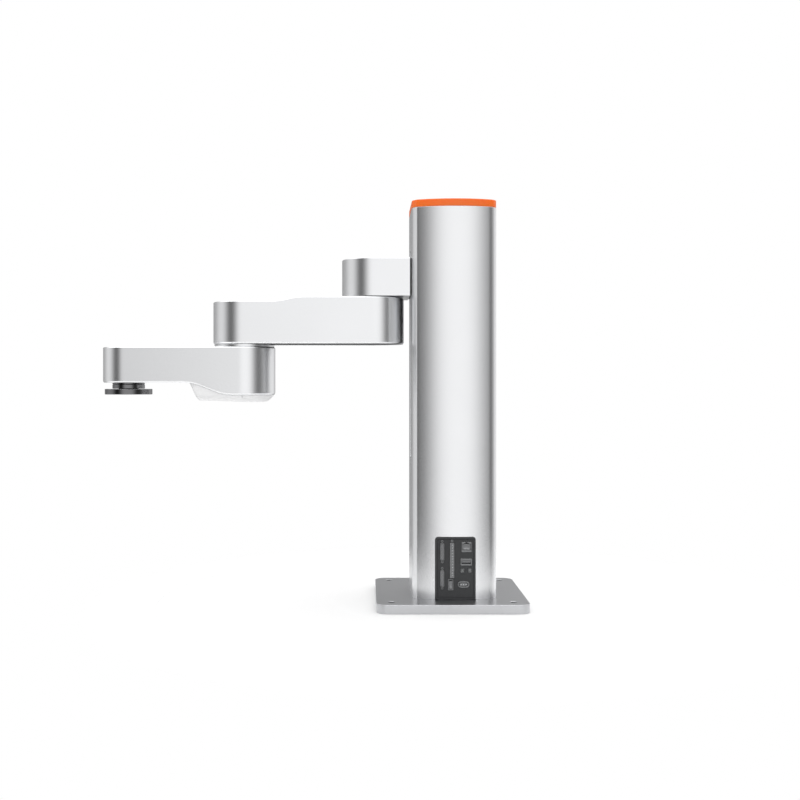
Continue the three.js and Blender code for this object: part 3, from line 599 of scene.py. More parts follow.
def column_cap():
    low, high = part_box("top_cap")
    lid = new(slab, lambda inset=0.0: column_outline(RING_WIDTH + GAP + inset), low.z, high.z, 0.6 * MM)
    seat_r, seat_z, far_y = 3.6 * MM, high.z - 3 * MM, 40 * MM
    levels = [(seat_r + 0.8 * MM, high.z + MM, 0), (seat_r, high.z - 0.3 * MM, 0), (seat_r, seat_z, 0)]
    spots = [(x, y, seat_z) for x in (low.x + 12 * MM, high.x - 12 * MM) for y in (-far_y, far_y)]
    seats = bmesh.new()
    for x, y, _ in spots:
        turn(seats, levels, x, y, steps=32)
    piece("column_top_cap", carve(lid, seats), "satin_aluminium", "base", ["top_cap"])
    screws("top_cap_screws", "base", spots, 3.3 * MM, height=2.6 * MM)


def slot_seals():
    """Each seal is a clamped strip with a comb of bristle tufts that reach in to the moving neck."""
    holder, pitch, tuft_deep = 5.5 * MM, 2.0 * MM, 1.4 * MM
    for name, side in (("slot_seal_left", -1), ("slot_seal_right", 1)):
        low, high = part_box(name)
        outer, inner = (high.y, low.y) if side > 0 else (low.y, high.y)
        height = high.z - low.z
        middle = at(high.x, outer - side * holder / 2, low.z + height / 2, TOWARDS_ARMS)
        bm = new(slab, rounded_rect(holder, height, 0.8 * MM, 3), 0, high.x - low.x, 0.4 * MM, middle)
        reach = abs(outer - inner) - holder
        tuft = rounded_rect(reach, pitch * 0.78, 0.3 * MM, 2)
        for i in range(int(height / pitch)):
            place = at(high.x - 0.8 * MM, inner + side * reach / 2, low.z + pitch * (i + 0.5), TOWARDS_ARMS)
            prism(bm, tuft, 0, tuft_deep, place)
        piece("brush_" + name[5:], bm, "white_plastic", "base", [name])


# ---- connector panel ----
PANEL_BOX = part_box("io_panel")
PANEL_FACE = PANEL_BOX[0].y
PANEL_LOW = FOOT_Z
PANEL_BACK = PANEL_FACE - PANEL_BOX[1].y
PANEL_SEAT = PANEL_BACK + 2.3 * MM
PANEL_HIGH = 95 * MM
PANEL_W = 53.5 * MM
PANEL_CORNER = 4 * MM
PANEL_X = (PANEL_BOX[0].x + PANEL_BOX[1].x) / 2


def fitting(name):
    """The width, height, front and place of a fitting on the panel; local Z comes out of the panel."""
    low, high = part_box(name)
    place = at((low.x + high.x) / 2, PANEL_FACE, (low.z + high.z) / 2, TOWARDS_FRONT)
    return high.x - low.x, high.z - low.z, PANEL_FACE - low.y, PANEL_FACE - high.y, place


def panel():
    height = PANEL_HIGH - PANEL_LOW
    face = rounded_rect(PANEL_W, height, PANEL_CORNER, 8)
    border, groove, depth, flange = 2.6 * MM, 0.5 * MM, 0.7 * MM, 4.5 * MM
    levels = [
        (border + groove + 0.9 * MM, 0, 0), (border + groove + 0.2 * MM, 0, 0.3),
        (border + groove, -depth, 0), (border, -depth, 0), (border - 0.2 * MM, 0, 0.3), (1.1 * MM, 0, 0.3),
        (0.6 * MM, -0.1 * MM, 0.6), (0.2 * MM, -0.3 * MM, 1), (0, -0.8 * MM, 0.8), (0, -1.4 * MM, 0),
        (0, PANEL_SEAT, 0), (-flange, PANEL_SEAT - 0.1 * MM, 0), (-flange, PANEL_BACK, 0),
    ]
    rings = [ring_at(face, *level) for level in levels]
    for points, _ in rings[-2:]:
        points[:] = [(x, max(y, -height / 2), z) for x, y, z in points]
    bm = new(loft, rings, matrix=at(PANEL_X, PANEL_FACE, PANEL_LOW + height / 2, TOWARDS_FRONT))
    wells = bmesh.new()
    for name in FITTINGS:
        width, tall, _, _, place = fitting(name)
        corner = 4 * MM if name == "power_inlet" else 0.9 * MM
        well = rounded_rect(width + 2 * GAP, tall + 2 * GAP, corner + GAP, 6)
        prism(wells, well, 4 * MM, -14 * MM, place)
    piece("connector_panel", carve(bm, wells), "black_plastic", "base", ["io_panel"])


def signal_port(name):
    """A nine-pin port: a shell, an insulator in its mouth, two rows of pins and a hexagonal post at each
    end."""
    width, tall, front, back, place = fitting(name)
    outline = rounded_rect(width, tall, 1.2 * MM)
    shell = new(cup, outline, 0.55 * MM, back, front, front - 4 * MM, 0.2 * MM, place)
    filling = rounded_rect(width - 1.5 * MM, tall - 1.5 * MM, 0.8 * MM, 3)
    insulator = new(slab, filling, front - 4.2 * MM, front - 0.5 * MM, 0.15 * MM, place)
    ways, pins, posts = bmesh.new(), bmesh.new(), bmesh.new()
    pitch = 3.6 * MM
    for column_x, count in ((-0.85 * MM, 5), (0.85 * MM, 4)):
        for i in range(count):
            spot = place @ at(column_x, (i - (count - 1) / 2) * pitch, front)
            prism(ways, circle(0.55 * MM, 12), MM, -2 * MM, spot)
            slab(pins, circle(0.34 * MM, 12), -2.1 * MM, -0.9 * MM, 0.1 * MM, spot, 2)
    for end in (-1, 1):
        spot = place @ at(0, end * (tall / 2 + 2.4 * MM), 0)
        cup(posts, polygon(1.75 * MM, 6), 0.85 * MM, -0.4 * MM, 1.1 * MM, -0.2 * MM, 0.2 * MM, spot)
    piece(name + "_shell", shell, "connector_grey", "base", [name])
    piece(name + "_insulator", carve(insulator, ways), "connector_grey", "base")
    piece(name + "_pins", pins, "steel", "base")
    piece(name + "_posts", posts, "connector_grey", "base")


def terminal_port():
    """A long plug-in terminal strip with a row of clamping ways."""
    width, tall, front, back, place = fitting("terminal_port")
    strip = new(slab, rounded_rect(width, tall, 0.8 * MM), back, front, 0.3 * MM, place)
    ways, contacts, count = bmesh.new(), bmesh.new(), 12
    pitch = (tall - 2.4 * MM) / count
    way = rounded_rect(width - 3.3 * MM, pitch * 0.5, 0.3 * MM, 2)
    contact = rounded_rect(width - 3.8 * MM, pitch * 0.3, 0.15 * MM, 2)
    for i in range(count):
        spot = place @ at(0.5 * MM, (i - (count - 1) / 2) * pitch, 0)
        prism(ways, way, front + MM, front - 2.4 * MM, spot)
        slab(contacts, contact, front - 2.5 * MM, front - 0.5 * MM, 0.1 * MM, spot, 2)
    piece("terminal_block", carve(strip, ways), "connector_grey", "base", ["terminal_port"])
    piece("terminal_contacts", contacts, "steel", "base")
    end = place @ at(0, tall / 2 + 2.6 * MM, -0.3 * MM)
    piece("terminal_screw", new(socket_screw, end, 1.6 * MM, 0.9 * MM), "connector_grey", "base")


def ethernet_port():
    width, tall, front, back, place = fitting("ethernet_port")
    jack = new(slab, rounded_rect(width, tall, 0.8 * MM), back, front, 0.25 * MM, place)
    mouth, contacts, pitch = bmesh.new(), bmesh.new(), 1.02 * MM
    # The mouth's steps, for the plug's body, key and latch: half width, bottom and top, in mm.
    for half_w, low, high in ((5.5, -4.3, 4.3), (3.1, 4.0, 5.3), (1.7, 5.0, 6.1)):
        step = rounded_rect(2 * half_w * MM, (high - low) * MM, 0.25 * MM, 2)
        prism(mouth, step, front + MM, front - 11.4 * MM, place @ at(0, (low + high) / 2 * MM, 0))
    piece("network_jack", carve(jack, mouth), "connector_grey", "base", ["ethernet_port"])
    flap = rounded_rect(10.6 * MM, 8.2 * MM, 0.4 * MM, 3)
    shutter = new(slab, flap, front - 11.2 * MM, front - 1.6 * MM, 0.3 * MM, place)
    piece("network_jack_shutter", shutter, "connector_grey", "base")
    for i in range(8):
        spot = place @ at((i - 3.5) * pitch, -2.2 * MM, front - 1.7 * MM)
        slab(contacts, rounded_rect(0.45 * MM, 2.6 * MM, 0.1 * MM, 2), 0, 0.4 * MM, 0.08 * MM, spot, 2)
    piece("network_jack_contacts", contacts, "steel", "base")


def usb_port():
    width, tall, front, back, place = fitting("usb_port")
    shell = new(slab, rounded_rect(width, tall, 0.8 * MM), back, front, 0.25 * MM, place)
    mouth = new(prism, rounded_rect(12.4 * MM, 4.8 * MM, 0.5 * MM, 4), front + MM, front - 11 * MM, place)
    piece("usb_shell", carve(shell, mouth), "connector_grey", "base", ["usb_port"])
    raised, tongue = place @ at(0, 0.6 * MM, 0), rounded_rect(11.4 * MM, 3 * MM, 0.3 * MM, 3)
    bm = new(slab, tongue, front - 11.1 * MM, front - 0.8 * MM, 0.2 * MM, raised)
    piece("usb_tongue", bm, "connector_grey", "base")


def power_inlet():
    width, tall, front, back, place = fitting("power_inlet")
    oval = rounded_rect(width, tall, tall / 2 - 0.05 * MM, 12)
    socket = new(cup, oval, 1.4 * MM, back, front, front - 9 * MM, 0.5 * MM, place)
    piece("power_socket", socket, "connector_grey", "base", ["power_inlet"])
    margin = 4.4 * MM
    inner = rounded_rect(width - margin, tall - margin, (tall - margin) / 2 - 0.05 * MM, 12)
    core = new(slab, inner, front - 9.1 * MM, front - 0.7 * MM, 0.5 * MM, place)
    piece("power_socket_core", core, "connector_grey", "base")
    pins, pitch = bmesh.new(), 3.2 * MM
    for i in (-1, 0, 1):
        spot = place @ at(i * pitch, 0, 0)
        slab(pins, circle(0.7 * MM, 16), front - 0.8 * MM, front - 0.3 * MM, 0.15 * MM, spot)
    piece("power_socket_pins", pins, "steel", "base")


def status_lights():
    for name in ("status_light_left", "status_light_right"):
        width, tall, front, back, place = fitting(name)
        rim_shape = rounded_rect(width, tall, 0.6 * MM, 4)
        bezel = new(cup, rim_shape, 0.6 * MM, back, front, front - 1.2 * MM, 0.2 * MM, place)
        window = rounded_rect(width - 1.5 * MM, tall - 1.5 * MM, 0.5 * MM, 4)
        lens = new(slab, window, front - 1.3 * MM, front - 0.1 * MM, 0.45 * MM, place, 4)
        piece(name + "_bezel", bezel, "connector_grey", "base")
        piece(name + "_lens", lens, "status_lens", "base", [name])


def power_switch():
    width, tall, front, back, place = fitting("switch_frame")
    opening = rounded_rect(5 * MM, 12.6 * MM, 0.5 * MM)
    bezel = new(frame_prism, rounded_rect(width, tall, 0.8 * MM), opening, back, front, 0.25 * MM, place)
    piece("switch_bezel", bezel, "connector_grey", "base", ["switch_frame"])
    pivot = next(joint["pos_m"] for joint in frame["joints"] if joint["name"] == "power_toggle")
    # One half of the rocker's section, in mm: up from the pivot, and out of the panel.
    half = [(-5.4, -0.3), (-5.4, 1.2), (-5.1, 3.1), (-4.6, 3.2), (-3.6, 3.0), (-1.2, 2.25), (0, 2.15)]
    section = half + [(-a, b) for a, b in reversed(half[:-1])] + [(3, -1.6), (-3, -1.6)]
    bm = bmesh.new()
    wear_layer = bm.verts.layers.float.new(WEAR)
    tilt = Matrix.Rotation(math.radians(8), 4, "X")
    rows = []
    for across, pull in ((-2.2, 0.25), (-1.95, 0), (1.95, 0), (2.2, 0.25)):
        row = []
        for up, out in section:
            local = Vector((across, pull - out, up)) * MM
            vert = bm.verts.new(Vector(pivot) + tilt @ local)
            vert[wear_layer] = 0.6 if out > 2 else 0
            row.append(vert)
        rows.append(row)
    for first, second in zip(rows, rows[1:]):
        for i in range(len(section)):
            j = (i + 1) % len(section)
            bm.faces.new((first[i], first[j], second[j], second[i]))
    bm.faces.new(rows[0])
    bm.faces.new(rows[-1])
    bmesh.ops.recalc_face_normals(bm, faces=bm.faces)
    piece("switch_rocker", bm, "connector_grey", "power_switch", ["power_rocker"], sharp=30)


FITTINGS = [
    "signal_port_upper", "signal_port_lower", "terminal_port", "ethernet_port", "usb_port", "power_inlet",
    "status_light_left", "status_light_right", "switch_frame",
]


# ---- bracket ----
GASKET = 1.5 * MM  # the dark wiper between the bracket's end and the column's face


def bracket():
    low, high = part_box("shoulder_bracket")
    lid_low, lid_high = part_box("bracket_lid")
    outline = bracket_end(SHOULDER_X, ARM_R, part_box("seal_plate")[1].x - GASKET, 0.8 * MM)
    inner_end, lip = bracket_end(SHOULDER_X, ARM_R - WALL, lid_high.x + GAP, 1.5 * MM), 0.4 * MM
    levels = ((0, low.z + WALL, 0), (0, high.z - lip, 0.6), (-lip, high.z, 0.6))
    rings = [ring_at(inner_end, *level) for level in levels]
    rings += edge_rings(outline, rounding("high", 1.0 * MM)[1:] + rounding("low", 0.3 * MM), low.z, high.z)
    hub_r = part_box("shoulder_hub")[1].y + MM
    hub_hole = new(turn, [(hub_r, low.z + 10 * MM, 0), (hub_r, low.z - 5 * MM, 0)], SHOULDER_X, steps=64)
    body = carve(new(loft, rings), hub_hole)
    piece("shoulder_bracket_body", body, "satin_aluminium", "carriage", ["shoulder_bracket"])
    lid_end = bracket_end(SHOULDER_X, ARM_R - WALL - GAP, lid_high.x, 1.5 * MM)
    lid, seats = new(slab, lid_end, lid_low.z, lid_high.z, 0.4 * MM), bmesh.new()
    seat_r, seat_z = 2.6 * MM, lid_high.z - 1.6 * MM
    spots = [(-34, 0), (0, 30), (0, -30), (34, 30), (34, -30)]
    spots = [(SHOULDER_X + x * MM, y * MM, seat_z) for x, y in spots]
    for x, y, _ in spots:
        turn(seats, [(seat_r, lid_high.z + MM, 0), (seat_r, seat_z, 0)], x, y, steps=28)
    piece("shoulder_bracket_lid", carve(lid, seats), "satin_aluminium", "carriage", ["bracket_lid"])
    screws("bracket_lid_screws", "carriage", spots, 2.3 * MM, height=1.3 * MM)


def seal_plate():
    low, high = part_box("seal_plate")
    neck_low, neck_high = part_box("carriage_neck")
    outer = rounded_rect(high.y - low.y, high.z - low.z, 1.5 * MM)
    hole = rounded_rect(2 * neck_high.y + 2 * GAP, neck_high.z - neck_low.z + 2 * GAP, 0.6 * MM)
    place = at(high.x, 0, (low.z + high.z) / 2, TOWARDS_ARMS)
    wiper = new(frame_prism, outer, hole, 0, GASKET, 0.3 * MM, place)
    piece("column_seal_plate", wiper, "black_plastic", "carriage", ["seal_plate"])


# ---- arms ----
def s_curve(x, start, end, before, after):
    """before at start and after at end, with a smooth S between and level beyond."""
    t = min(max((x - start) / (end - start), 0), 1)
    return before + (after - before) * t**3 * (6 * t * t - 15 * t + 10)


UPPER_STEP = (SHOULDER_X - 91 * MM, SHOULDER_X - 139 * MM)
UPPER_DROP = 5.9 * MM
FORE_STEP = (ELBOW_X - 82 * MM, ELBOW_X - 8 * MM)
FORE_RISE = 16.6 * MM
UPPER_CEILING, FORE_CEILING = 404 * MM, 342.4 * MM


def upper_top(x):
    return s_curve(x, *UPPER_STEP, UPPER_HIGH.z, UPPER_HIGH.z - UPPER_DROP)


def fore_bottom(x):
    return s_curve(x, *FORE_STEP, FORE_LOW.z + FORE_RISE, FORE_LOW.z)


def arm_shell(name, outline, low, high, ceiling, body, node):
    """A casting open underneath: top, rounded edge, wall, bright bottom chamfer, inner wall and ceiling."""
    bevel = [
        (0, "low", 2.7 * MM, 0), (0, "low", 2.2 * MM, 0.4), (0.1 * MM, "low", 1.9 * MM, 0.8),
        (1.15 * MM, "low", 0.15 * MM, 0.8), (1.5 * MM, "low", 0, 0.4),
    ]
    rings = edge_rings(outline, rounding("high", 1.4 * MM, 5) + bevel + rim("low", WALL), low, high)
    casting = new(loft, rings + [ring_at(outline, WALL, ceiling)])
    piece(name, casting, "satin_aluminium", body, [node])


SEAT_DEPTH = 1.6 * MM


def cover(name, outline, low_z, high_z, radius, spots, hole_x, hole_r, slot, body, node, screw_name):
    """A flat cover under an arm with a round hole and a row of screws, heads down, in seats."""
    bm = new(slab, outline, low_z, high_z, radius)
    seats = bmesh.new()
    for x, y in spots:
        turn(seats, [(2.6 * MM, low_z + SEAT_DEPTH, 0), (2.6 * MM, low_z - 2 * MM, 0)], x, y, steps=28)
    bm = carve(bm, seats)
    hole = new(turn, [(hole_r, high_z + 5 * MM, 0), (hole_r, low_z - 5 * MM, 0)], hole_x, steps=64)
    piece(name, carve(bm, hole), slot, body, [node])
    screws(screw_name, body, [(x, y, low_z + SEAT_DEPTH) for x, y in spots], 2.3 * MM, DOWN, 1.3 * MM)


def upper_arm():
    outline = arm(SHOULDER_X, ARM_R, ELBOW_X, ARM_R, 60)
    arm_shell("upper_arm_casting", outline, UPPER_LOW.z, upper_top, UPPER_CEILING, "upper_arm",
              "upper_arm_shell")
    low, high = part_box("upper_arm_cover")
    radius, near_end, side_y = ARM_R - WALL - GAP, 30 * MM, 31 * MM
    rows = (SHOULDER_X, (SHOULDER_X + ELBOW_X) / 2, ELBOW_X)
    spots = [(SHOULDER_X + near_end, 0)] + [(x, side * side_y) for x in rows for side in (-1, 1)]
    spots.append((ELBOW_X - side_y, 0))
    cover("upper_arm_bottom_cover", arm(SHOULDER_X, radius, ELBOW_X, radius), low.z, high.z, 0.5 * MM, spots,
          ELBOW_X, 23 * MM, "black_plastic", "upper_arm", "upper_arm_cover", "upper_cover_screws")


def forearm():
    outline = arm(ELBOW_X, ARM_R, TOOL_X, TIP_R, 60)
    arm_shell("forearm_casting", outline, fore_bottom, FORE_HIGH.z, FORE_CEILING, "forearm", "forearm_shell")
    low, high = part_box("forearm_bottom_plate")
    tip_r, near_x = TIP_R - WALL - GAP, high.x
    taper = (ARM_R - TIP_R) / (ELBOW_X - TOOL_X)
    plate = bracket_taper(TOOL_X, tip_r, near_x, tip_r + taper * (near_x - TOOL_X), 1.5 * MM)
    spots = [(near_x - 8 * MM, side * 26 * MM) for side in (-1, 1)]
    spots += [(TOOL_X + 30 * MM, side * 24 * MM) for side in (-1, 1)] + [(TOOL_X - 25.5 * MM, 0)]
    cover("forearm_tip_plate", plate, low.z, high.z, 0.4 * MM, spots, TOOL_X, 20.3 * MM, "satin_aluminium",
          "forearm", "forearm_bottom_plate", "tip_plate_screws")


def bracket_taper(x0, radius, x1, half, corner):
    """A round end about x0 whose sides open out to a half width at x1."""
    def outline(inset=0.0):
        small = max(corner - inset, corner * 0.3)
        lean = math.atan2(half - radius, x1 - x0)
        right = arc(x1 - inset - small, half - inset - small, small, 0, math.pi / 2 + lean, 5)
        left = arc(x0, 0, radius - inset, math.pi / 2 + lean, math.pi, 24)
        left[-1] = (x0 - radius + inset, 0)
        return mirrored(right + straight(right[-1], left[0], 10) + left[1:])
    return outline


def belly_bottom(x):
    """The belly's lowest line: a sloping nose, a long flat and a heel that rises."""
    nose, flat, heel = BELLY_LOW.x, BELLY_LOW.x + 16 * MM, ELBOW_X + 26 * MM
    end = BELLY_HIGH.x
    if x < flat:
        return s_curve(x, nose - 6 * MM, flat, BELLY_LOW.z + 24 * MM, BELLY_LOW.z + 1.8 * MM)
    if x < heel:
        return s_curve(x, flat, heel, BELLY_LOW.z + 1.8 * MM, BELLY_LOW.z)
    return BELLY_LOW.z + 7 * MM * ((x - heel) / (end - heel)) ** 2.2


BELLY_LOW, BELLY_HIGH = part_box("forearm_belly")


def belly():
    """A moulded cover, closed and rounded underneath, whose upper rim follows the casting's lower edge."""
    near_r, far_r = ARM_R - 2 * MM, TIP_R - 2 * MM
    nose_half = far_r + (near_r - far_r) / (ELBOW_X - TOOL_X) * (BELLY_LOW.x - TOOL_X)

    def outline(inset=0.0):
        half, corner, nose_x = nose_half - inset, 9 * MM, BELLY_LOW.x + inset
        tangent = math.acos((far_r - near_r) / (ELBOW_X - TOOL_X))
        near = arc(ELBOW_X, 0, near_r - inset, 0, tangent, 22)
        left = arc(nose_x + corner, half - corner, corner, tangent, math.pi, 8)
        return mirrored(near + straight(near[-1], left[0], 46) + left[1:] + [(nose_x, (half - corner) * 0.5)])

    def top(x):
        return fore_bottom(x) - 0.15 * MM

    softness, steps, wall = 9 * MM, 10, 2.6 * MM
    base = outline()
    inner = []
    for (x, y), (base_x, _) in zip(outline(wall + 0.4 * MM), base):
        inner.append((x, y, min(max(belly_bottom(x) + wall, FORE_LOW.z - 5.4 * MM), top(base_x) - 0.2 * MM)))
    inner_top = [(x, y, top(base_x)) for (x, y), (base_x, _) in zip(outline(wall), base)]
    rings = [(inner, 0), (inner_top, 0.4), ([(x, y, top(x)) for x, y in base], 0.4)]
    for i in range(steps + 1):
        angle = math.pi / 2 * i / steps
        points = []
        for (x, y), (base_x, _) in zip(outline(softness * (1 - math.cos(angle)) * 1.15), base):
            bottom, ceiling = belly_bottom(x), top(base_x)
            start = max(bottom + softness * 0.95, bottom + (ceiling - bottom) * 0.35)
            start = min(start, ceiling - 0.3 * MM)
            points.append((x, y, bottom + (start - bottom) * (1 - math.sin(angle))))
        rings.append((points, 0.2 if i < steps - 1 else 0))
    last = rings[-1][0]
    rings += [([(x, y * share, belly_bottom(x)) for x, y, _ in last], 0) for share in (0.66, 0.33)]
    piece("forearm_belly_cover", new(loft, rings), "white_plastic", "forearm", ["forearm_belly"], sharp=50)
    place = at(ELBOW_X + 1.5 * MM, -near_r + 1.1 * MM, FORE_LOW.z - 2.2 * MM, TOWARDS_FRONT)
    piece("belly_screw", new(socket_screw, place, 1.3 * MM, 1.0 * MM), "steel", "forearm")


def hubs():
    low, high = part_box("shoulder_hub")
    hub = stepped(0, high.z, (high.y, low.z))
    turned_piece("shoulder_hub_ring", hub, 0.4 * MM, "black_anodised", "upper_arm", SHOULDER_X,
                 ["shoulder_hub"])
    low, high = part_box("elbow_shaft")
    shaft = stepped(0, high.z, (22 * MM, UPPER_LOW.z - 2 * GAP), (high.y, low.z))
    turned_piece("elbow_shaft_flanged", shaft, 0.3 * MM, "satin_aluminium", "forearm", ELBOW_X,
                 ["elbow_shaft"], steps=96)


# ---- tool end ----
def tool_end():
    low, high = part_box("spindle_housing")
    cap_top, cap_r, groove = FORE_LOW.z + FORE_RISE - GAP, high.y, 0.8 * MM
    collar = cap_top - 1.9 * MM
    housing = stepped(10 * MM + GAP, low.z - 0.5 * MM, (cap_r, collar - 0.5 * MM), (cap_r - groove, collar),
                      (cap_r, cap_top), (20 * MM, high.z))
    turned_piece("spindle_bearing_housing", housing, 0.4 * MM, "black_anodised", "forearm", TOOL_X,
                 ["spindle_housing"], True)
    low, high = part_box("tool_flange")
    radius, neck, disc_top, recess = TOOL_X - low.x, 12.5 * MM, low.z + 7.6 * MM, low.z + 2.4 * MM
    corners = [
        (0, recess), (8 * MM, recess), (8 * MM, low.z), (radius, low.z), (radius, disc_top),
        (neck + 2 * MM, disc_top), (neck, disc_top + 0.6 * MM), (neck, high.z), (0, high.z),
    ]
    disc = new(turn, chamfered(corners, 0.5 * MM), TOOL_X, steps=96)
    tap_r, tap_top = 1.65 * MM, low.z + 5.5 * MM
    levels = [(tap_r, tap_top, 0), (tap_r, low.z + 0.5 * MM, 0), (2.6 * MM, low.z - 0.5 * MM, 0)]
    holes = bmesh.new()
    for x, y, _ in ring_spots(TOOL_X, 24 * MM, 0, 4, math.pi / 4):
        turn(holes, levels, x, y, steps=24)
    piece("tool_flange_disc", carve(disc, holes), "black_anodised", "tool", ["tool_flange"])


# ---- inside the column and the arms ----
def backbone():
    low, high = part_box("z_backbone")
    window, windows, pitch, cutter = rounded_rect(30 * MM, 52 * MM, 8 * MM), 5, 78 * MM, bmesh.new()
    for i in range(windows):
        prism(cutter, window, 5 * MM, -15 * MM, at(low.x, 0, 110 * MM + pitch * i, TOWARDS_ARMS))
    bm = carve(new(block, low, high, 1.0 * MM, 0.5 * MM), cutter)
    piece("lift_backbone", bm, "machined_aluminium", "base", ["z_backbone"])


def rail_section(inset=0.0):
    """A profile rail with a groove along each flank; the grooves only grow deeper with the inset."""
    half = [(4, 5.4), (3.4, 6), (1.5, 6), (0.9, 5.2), (-0.6, 5.2), (-1.2, 6), (-3.4, 6), (-4, 5.4)]
    narrowed = [x * MM - (math.copysign(inset, x) if abs(x) > 2 else 0) for x, _ in half]
    return mirrored([(x, y * MM - inset) for x, (_, y) in zip(narrowed, half)])


def rails():
    pitch, count, hole_r, seat_r, seat = 25 * MM, 17, 1.8 * MM, 3.2 * MM, -3 * MM
    for side in ("left", "right"):
        low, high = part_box("linear_rail_" + side)
        centre = (low + high) / 2
        spots = [(low.x, centre.y, low.z + 10 * MM + pitch * i) for i in range(count)]
        holes = bores(spots, [(seat_r, MM), (seat_r, seat), (hole_r, seat), (hole_r, -10 * MM)], TOWARDS_ARMS)
        rail = carve(new(slab, rail_section, low.z, high.z, 0.3 * MM, at(centre.x, centre.y, 0)), holes)
        piece("lift_rail_" + side, rail, "steel", "base", ["linear_rail_" + side])
        sunk = [(x - seat, y, z) for x, y, z in spots]
        screws("lift_rail_screws_" + side, "base", sunk, 2.8 * MM, TOWARDS_ARMS)


def guide_blocks():
    cap, margin = 4.5 * MM, 0.5 * MM
    for side in ("left", "right"):
        low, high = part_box("guide_block_" + side)
        rail_low, rail_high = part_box("linear_rail_" + side)
        for name, z0, z1, inset, slot, replaces in (
                ("guide_body_", low.z + cap, high.z - cap, 0, "steel", ["guide_block_" + side]),
                ("guide_cap_low_", low.z, low.z + cap, margin, "black_plastic", []),
                ("guide_cap_high_", high.z - cap, high.z, margin, "black_plastic", [])):
            outer = Vector((low.x + inset, low.y + inset, z0)), Vector((high.x, high.y - inset, z1))
            channel = (Vector((rail_low.x - GAP, rail_low.y - GAP, z0 - MM)),
                       Vector((high.x + 5 * MM, rail_high.y + GAP, z1 + MM)))
            bm = carve(new(block, *outer, 1.2 * MM, 0.4 * MM), new(block, *channel, 0.2 * MM, 0.2 * MM))
            piece(name + side, bm, slot, "carriage", replaces)


def ball_screw():
    """A rolled screw of four starts. Each ring is the same scalloped outline, turned on by the lead."""
    low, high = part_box("ball_screw")
    x, radius, journal = (low.x + high.x) / 2, high.y, 4 * MM
    lead, starts, groove, points, step = 20 * MM, 4, 0.9 * MM, 32, 1.25 * MM
    thread_low, thread_high, journal_z = low.z + 1.5 * MM, 470 * MM, 478 * MM

    def ring(z, reach, cut=0.0, wear=0.0, turned_z=low.z):
        turned_by, found = 2 * math.pi * (turned_z - low.z) / lead, []
        for i in range(points):
            angle = 2 * math.pi * i / points
            r = reach - cut * (0.5 - 0.5 * math.cos(starts * angle)) ** 0.7
            found.append((x + r * math.cos(angle + turned_by), r * math.sin(angle + turned_by), z))
        return found, wear

    core = radius - groove
    rings = [ring(low.z, radius - MM), ring(low.z + 0.4 * MM, radius - 0.6 * MM, wear=0.8)]
    count = int((thread_high - thread_low) / step)
    for z in [thread_low + (thread_high - thread_low) * i / count for i in range(count + 1)]:
        rings.append(ring(z, radius, groove, turned_z=z))
    for z, reach in ((thread_high + MM, core), (journal_z, core), (journal_z, journal),
                     (high.z - 0.4 * MM, journal), (high.z, journal - 0.4 * MM)):
        rings.append(ring(z, reach, wear=0.4, turned_z=thread_high))
    piece("lift_ball_screw", new(loft, rings), "steel", "lift_screw", ["ball_screw"], sharp=50)


def screw_supports():
    x = (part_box("ball_screw")[0].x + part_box("ball_screw")[1].x) / 2
    race_r, recess, bore = 9.6 * MM, 1.4 * MM, 6 * MM + GAP
    for name in ("screw_bearing_bottom", "screw_bearing_top"):
        low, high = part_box(name)
        depth, middle, seat = (high.z - low.z) / 2, (low.z + high.z) / 2, high.z - recess
        levels = [(race_r, depth + MM), (race_r, depth - recess), (bore, depth - recess), (bore, -depth - MM)]
        bm = carve(new(block, low, high, 1.5 * MM, 0.5 * MM), bores([(x, 0, middle)], levels))
        piece(name + "_block", bm, "steel", "base", [name])
        shield = stepped(7 * MM, seat + 0.05 * MM, (race_r - 0.2 * MM, high.z - 0.4 * MM))
        turned_piece(name + "_shield", shield, 0.2 * MM, "black_plastic", "base", x, closed=True)
        spots = [(low.x, y, middle) for y in (-8.5 * MM, 8.5 * MM)]
        screws(name + "_screws", "base", spots, 2.0 * MM, TOWARDS_ARMS)
    low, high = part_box("ball_nut")
    waist = (high.y - 0.7 * MM, high.z - 3 * MM)
    nut = stepped(bore, low.z, (high.y, low.z + 6 * MM), waist, (high.y, high.z))
    turned_piece("lift_ball_nut", nut, 0.3 * MM, "steel", "carriage", x, ["ball_nut"], True)
    low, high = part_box("shaft_coupling")
    radius, slits, pitch, cut, steps = high.y, 4, 1.9 * MM, 0.8 * MM, []
    for i in range(slits):
        z = low.z + 5.6 * MM + pitch * i
        steps += [(radius, z), (radius - 2.6 * MM, z + cut)]
    coupling = stepped(4 * MM + GAP, low.z, *steps, (radius, high.z))
    turned_piece("lift_coupling", coupling, 0.25 * MM, "machined_aluminium", "lift_screw", x,
                 ["shaft_coupling"], True)


